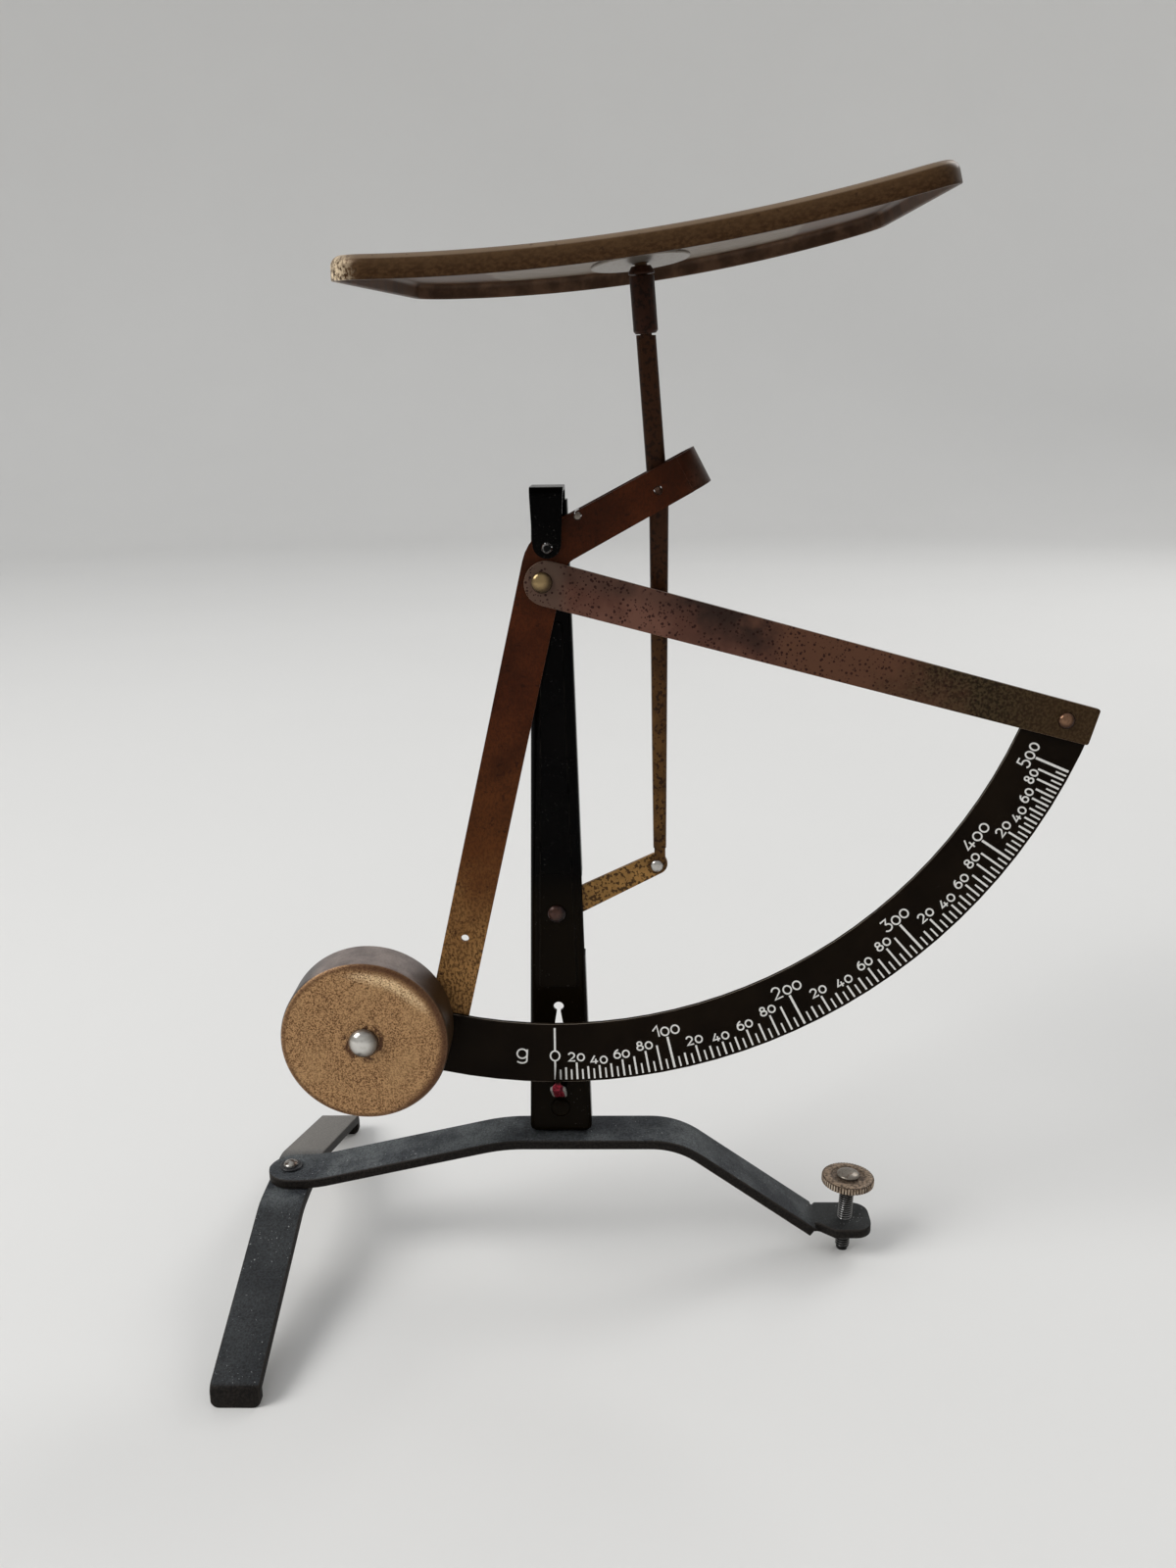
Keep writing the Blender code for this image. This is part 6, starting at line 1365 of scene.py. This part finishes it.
def dial_numbers():
    """Numbers at every second ten and every hundred, the zero and the unit."""
    strokes = []
    for grams in range(LABEL_STEP, MARK_LAST + 1, LABEL_STEP):
        text = str(grams) if grams % 100 == 0 else str(grams % 100)
        sizes = LABEL_SIZES[grams % 100 == 0]
        radius = MARK_FOOT - mark_length(grams) - LABEL_GAP
        narrow = np.interp(grams, *DIGIT_NARROW)
        strokes += label_strokes(text, *sizes, mark_angle(grams), radius, narrow)
    ring = bow(0, 0, *ZERO_RING, 0, 360)
    strokes.append(on_dial(ink_bar(ring, STROKE, 1), mark_angle(0), ZERO_RADIUS))
    across, radius = GRAM_PLACE
    strokes += label_strokes("g", GRAM_SIZE, GRAM_SIZE, across / radius, radius)
    return ink_mesh("dial_numbers", strokes)


# Stem and tray


def on_stem(reach, turn=(0, 0, 0)):
    """The frame of a piece on the stem, this far up from the fork pin."""
    stem = STEM_MATRIX @ Matrix.Translation((0, 0, reach))
    return stem @ Euler(turn).to_matrix().to_4x4()


def stem_turned(name, corners, place, material, slot, node, sides=ROUND_SIDES):
    """A piece turned round a bore, in the frame of its place on the stem."""
    piece = turned(name, rounded_line(corners), (0, 0, 0), UPWARDS, sides, closed=True)
    piece.data.transform(place)
    return dress(piece, "tray", material, slot, node)


def stem_pieces():
    """Sleeve, collar and disc, turned round the stem: corners are (radius, height, rounding)."""
    taper_radius, taper_height = SLEEVE_TAPER
    sleeve = [
        (SLEEVE_BORE, SLEEVE_LENGTH, 0),
        (SLEEVE_RADIUS, SLEEVE_LENGTH, 0.00025),
        (SLEEVE_RADIUS, taper_height, 0.0004),
        (taper_radius, 0, 0.0002),
        (SLEEVE_BORE, 0, 0),
    ]
    cone = [
        (CONE_BORE, CONE_HEIGHT, 0),
        (CONE_TOP_RADIUS, CONE_HEIGHT, 0.0002),
        (CONE_RADIUS, CONE_BAND, 0.0003),
        (CONE_RADIUS, 0, 0.0002),
        (CONE_BORE, 0, 0),
    ]
    disc = [
        (DISC_BORE, DISC_THICKNESS, 0),
        (DISC_RADIUS, DISC_THICKNESS, DISC_ROUND),
        (DISC_RADIUS, 0, DISC_ROUND),
        (DISC_BORE, 0, 0),
    ]
    lean = (-DISC_LEAN, -TRAY_SET_ANGLE, TRAY_TURN)
    brown = (STEM_BROWN, "brown_lacquer")
    stem_turned("tray_sleeve_tube", sleeve, on_stem(SLEEVE_START), *brown, "tray_sleeve")
    stem_turned("stem_collar_cone", cone, on_stem(CONE_START), *brown, "stem_collar")
    place = on_stem(DISC_START, lean)
    stem_turned("tray_disc_plate", disc, place, DISC_STEEL, "bright_steel", "tray_boss_disc", DISC_SIDES)


def tray_loop(offset):
    """A rounded rectangle this far inside the tray's edge, with even steps, as an array."""
    half_long = TRAY_LENGTH / 2 - TRAY_SHEET / 2 - offset
    half_deep = TRAY_DEPTH / 2 - TRAY_SHEET / 2 - offset
    radius = TRAY_CORNER - TRAY_SHEET / 2 - offset
    points = []
    for k, (sx, sy) in enumerate(((1, -1), (1, 1), (-1, 1), (-1, -1))):
        turn = QUARTER * (k - 1) + np.linspace(0, QUARTER, TRAY_CORNER_STEPS)
        arc = np.stack([np.cos(turn), np.sin(turn)], -1) * radius
        arc += (sx * (half_long - radius), sy * (half_deep - radius))
        run = (half_deep if k % 2 == 0 else half_long) - radius
        share = np.linspace(0, 1, TRAY_SIDE_STEPS[k % 2] + 1)[1:-1, None]
        way = np.array([(0, 1), (-1, 0), (0, -1), (1, 0)][k])
        points += [arc, arc[-1] + share * way * 2 * run]
    return np.concatenate(points) + (TRAY_SHIFT, 0)


def tray():
    """The tray: rounded rectangles, bent upwards to both ends on a cylinder.

    Row by row they climb the flange, round the bend and shrink to the middle. A row's depth
    lies square to the curved sheet.
    """
    rows = [(tray_loop(0), depth) for depth in np.linspace(TRAY_FLANGE, TRAY_BEND, TRAY_FLANGE_ROWS)[:-1]]
    for turn in np.linspace(0, QUARTER, TRAY_BEND_ROWS):
        rows.append((tray_loop(TRAY_BEND * (1 - math.cos(turn))), TRAY_BEND * (1 - math.sin(turn))))
    flat = tray_loop(TRAY_BEND)
    rows += [(flat * share, 0) for share in TRAY_FLAT_SHARES]
    loops, depths = zip(*rows)
    loops = np.stack(loops)
    depth = np.array(depths)[:, None]
    angle = loops[..., 0] / TRAY_CURVE
    reach = TRAY_CURVE + depth
    points = np.stack([reach * np.sin(angle), loops[..., 1], TRAY_CURVE - reach * np.cos(angle)], -1)
    sheet = surface("tray_sheet", points, wrap_columns=True)
    sheet.data.transform(TRAY_MATRIX)
    close_middle(sheet.data)
    solid = sheet.modifiers.new("sheet", "SOLIDIFY")
    solid.thickness = TRAY_SHEET
    solid.offset = 0
    solid.material_offset = 1
    solid.use_even_offset = True
    lip = sheet.modifiers.new("lip", "BEVEL")
    lip.width = TRAY_LIP
    lip.segments = TRAY_LIP_STEPS
    lip.limit_method = "ANGLE"
    lip.angle_limit = TRAY_LIP_ANGLE
    dress(sheet, "tray", TRAY_BRONZE, "tray_bronze", "tray")
    sheet.data.materials.append(TRAY_UNDER)
    return sheet


def close_middle(mesh):
    """Fill the small opening in the tray's middle, whose edges are the short open ones."""
    bm = bmesh.new()
    bm.from_mesh(mesh)
    short = [e for e in bm.edges if e.is_boundary and e.calc_length() < TRAY_MIDDLE_EDGE]
    bmesh.ops.holes_fill(bm, edges=short)
    bm.to_mesh(mesh)
    bm.free()


# Stage


def studio():
    """A pale round floor that curves up into a wall, a large lamp at the left and one behind."""
    floor = turned("studio_floor", rounded_line(STAGE_PROFILE), (0, 0, 0), UPWARDS, STAGE_SIDES)
    floor.data.shade_smooth()
    f = Finish("studio_floor")
    colour = f.mix(f.noise(0.3, 3), (0.74, 0.73, 0.71), (0.77, 0.76, 0.74))
    floor.data.materials.append(f.done(colour, 0.85, 0.0, specular=0.1))
    lamp("window", **WINDOW)
    lamp("rear_glow", **REAR_GLOW)


def lamp(name, place, size, power, beam):
    """A rectangular lamp that faces the scale and that the camera doesn't see."""
    light = bpy.data.lights.new(name, "AREA")
    light.spread = beam
    light.shape = "RECTANGLE"
    light.size, light.size_y = size
    light.energy = power
    obj = placed(name, light)
    obj.location = place
    obj.rotation_euler = (TARGET - Vector(place)).to_track_quat("-Z", "Y").to_euler()
    obj.visible_camera = False


def sky():
    """Soft even light from above the wall."""
    world = bpy.data.worlds.new("sky")
    world.use_nodes = True
    light = world.node_tree.nodes["Background"]
    light.inputs["Color"].default_value = SKY_COLOUR
    light.inputs["Strength"].default_value = SKY_STRENGTH
    bpy.context.scene.world = world


def camera():
    """The photograph's camera: its direction from yaw and pitch, then rolled about it."""
    data = bpy.data.cameras.new("camera")
    data.lens = CAMERA_LENS
    data.sensor_width = CAMERA_SENSOR
    data.sensor_fit = "AUTO"
    data.clip_start = CAMERA_NEAREST
    level = math.cos(CAMERA_PITCH)
    ahead = Vector((math.sin(CAMERA_YAW) * level, math.cos(CAMERA_YAW) * level, -math.sin(CAMERA_PITCH)))
    right = Vector((math.cos(CAMERA_YAW), -math.sin(CAMERA_YAW), 0))
    up = right.cross(ahead)
    across = right * math.cos(CAMERA_ROLL) + up * math.sin(CAMERA_ROLL)
    above = up * math.cos(CAMERA_ROLL) - right * math.sin(CAMERA_ROLL)
    turn = Matrix((across, above, -ahead)).transposed().to_4x4()
    obj = placed("camera", data)
    obj.matrix_world = Matrix.Translation(CAMERA_PLACE) @ turn
    bpy.context.scene.camera = obj


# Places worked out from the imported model


def middle(node):
    """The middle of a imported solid's box."""
    low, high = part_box(node)
    return (low + high) / 2


WEIGHT_CENTRE = middle("counterweight_shell")
BRACKET_RIVET_LOW, BRACKET_RIVET_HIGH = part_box("post_bracket_rivet")
POST_FRONT = BRACKET_RIVET_LOW.y + RIVET_DOMES["post_bracket_rivet"][1]
PAINT_LOW = BRACKET_RIVET_HIGH.z + PAINT_OVER_RIVET

# The stem, and the tray's frame on it, above the disc and its lean
STEM_MATRIX = Matrix.Translation(STEM_START) @ Euler((STEM_LEAN, STEM_TILT, 0)).to_matrix().to_4x4()
CONE_LIFT = CONE_TOP_RADIUS * math.sin(TRAY_SET_ANGLE + DISC_LEAN)
DISC_START = CONE_START + CONE_HEIGHT + STEM_GAP + CONE_LIFT
DISC_LIFT = DISC_RADIUS * math.sin(DISC_LEAN)
TRAY_START = DISC_START + DISC_THICKNESS + DISC_LIFT + STEM_GAP + TRAY_SHEET / 2
TRAY_MATRIX = on_stem(TRAY_START, (0, -TRAY_SET_ANGLE, TRAY_TURN))

# Materials
BLACK = black_lacquer()
DIAL_BLACK = dial_enamel()
INK = dial_print()
PAINT = base_paint()
LEVER_BROWN = lever_brown()
ARM_BROWN = arm_brown()
WEIGHT_GOLD = weight_gold()
LINK_GOLD = speckled_gold("link_gold", (0.32, 0.17, 0.052), (0.02, 0.009, 0.004), 0.47)
ROD_BROWN = (0.036, 0.0125, 0.004)
ROD_GOLD = speckled_gold("rod_gold", (0.11, 0.052, 0.014), (0.014, 0.005, 0.002), 0.44, ROD_BROWN)
HEAD_TAN = head_tan()
STEM_BROWN = speckled_gold("stem_brown", (0.032, 0.0105, 0.0045), (0.008, 0.003, 0.0015), 0.42)
RIVET_BROWN = domed_steel(
    "rivet_brown", "link_post_rivet", (0.06, 0.026, 0.018), (0.01, 0.0045, 0.0035), 0.5, 0.12, 0.3
)
WEIGHT_STEEL = domed_steel(
    "weight_rivet_steel", "counterweight_rivet", (0.62, 0.6, 0.56), (0.13, 0.1, 0.075), 0.15
)
TRAY_BRONZE = tray_bronze()
TRAY_UNDER = tray_underside()
BRIGHT = bare_steel("bright_steel", (0.5, 0.48, 0.45), 0.5, 0.14)
FOOT_STEEL = foot_rivet_steel()
PIN_BLACK = pin_black()
DISC_STEEL = bare_steel("disc_steel", (0.2, 0.175, 0.15), 0.35, 0.3, 0.7)
INNER_BRASS = domed_steel(
    "inner_rivet_brass", "scale_arm_inner_rivet", (0.3, 0.21, 0.1), (0.05, 0.03, 0.014)
)
OUTER_BRASS = domed_steel(
    "outer_rivet_brass", "scale_arm_outer_rivet", (0.22, 0.12, 0.07), (0.035, 0.016, 0.009), 0.5
)
PIN_BROWN = domed_steel("fork_pin_brown", "fork_pin", (0.12, 0.07, 0.05), (0.03, 0.012, 0.006))
DOME_TAN = bare_steel("dome_tan", (0.2, 0.175, 0.145), 0.45, 0.22, 0.6, 0.0008)
THREAD = thread_steel()
LEAD = cast_lead()

base_bar()
cross_foot()
foot_rivet()
levelling_stud()
levelling_head()
post_pieces()
lever_pieces()
counterweight()
link_and_rod()
dial_marks()
dial_numbers()
stem_pieces()
tray()
SOLIDS_KEPT = {"counterweight_core": LEAD, "quadrant_lever_rivet": BRIGHT, "tray_rivet": TRAY_BRONZE}
for node, material in SOLIDS_KEPT.items():
    frame["nodes"][node].data.materials.clear()
    frame["nodes"][node].data.materials.append(material)
studio()
sky()
camera()
bpy.context.scene.view_settings.view_transform = "Standard"
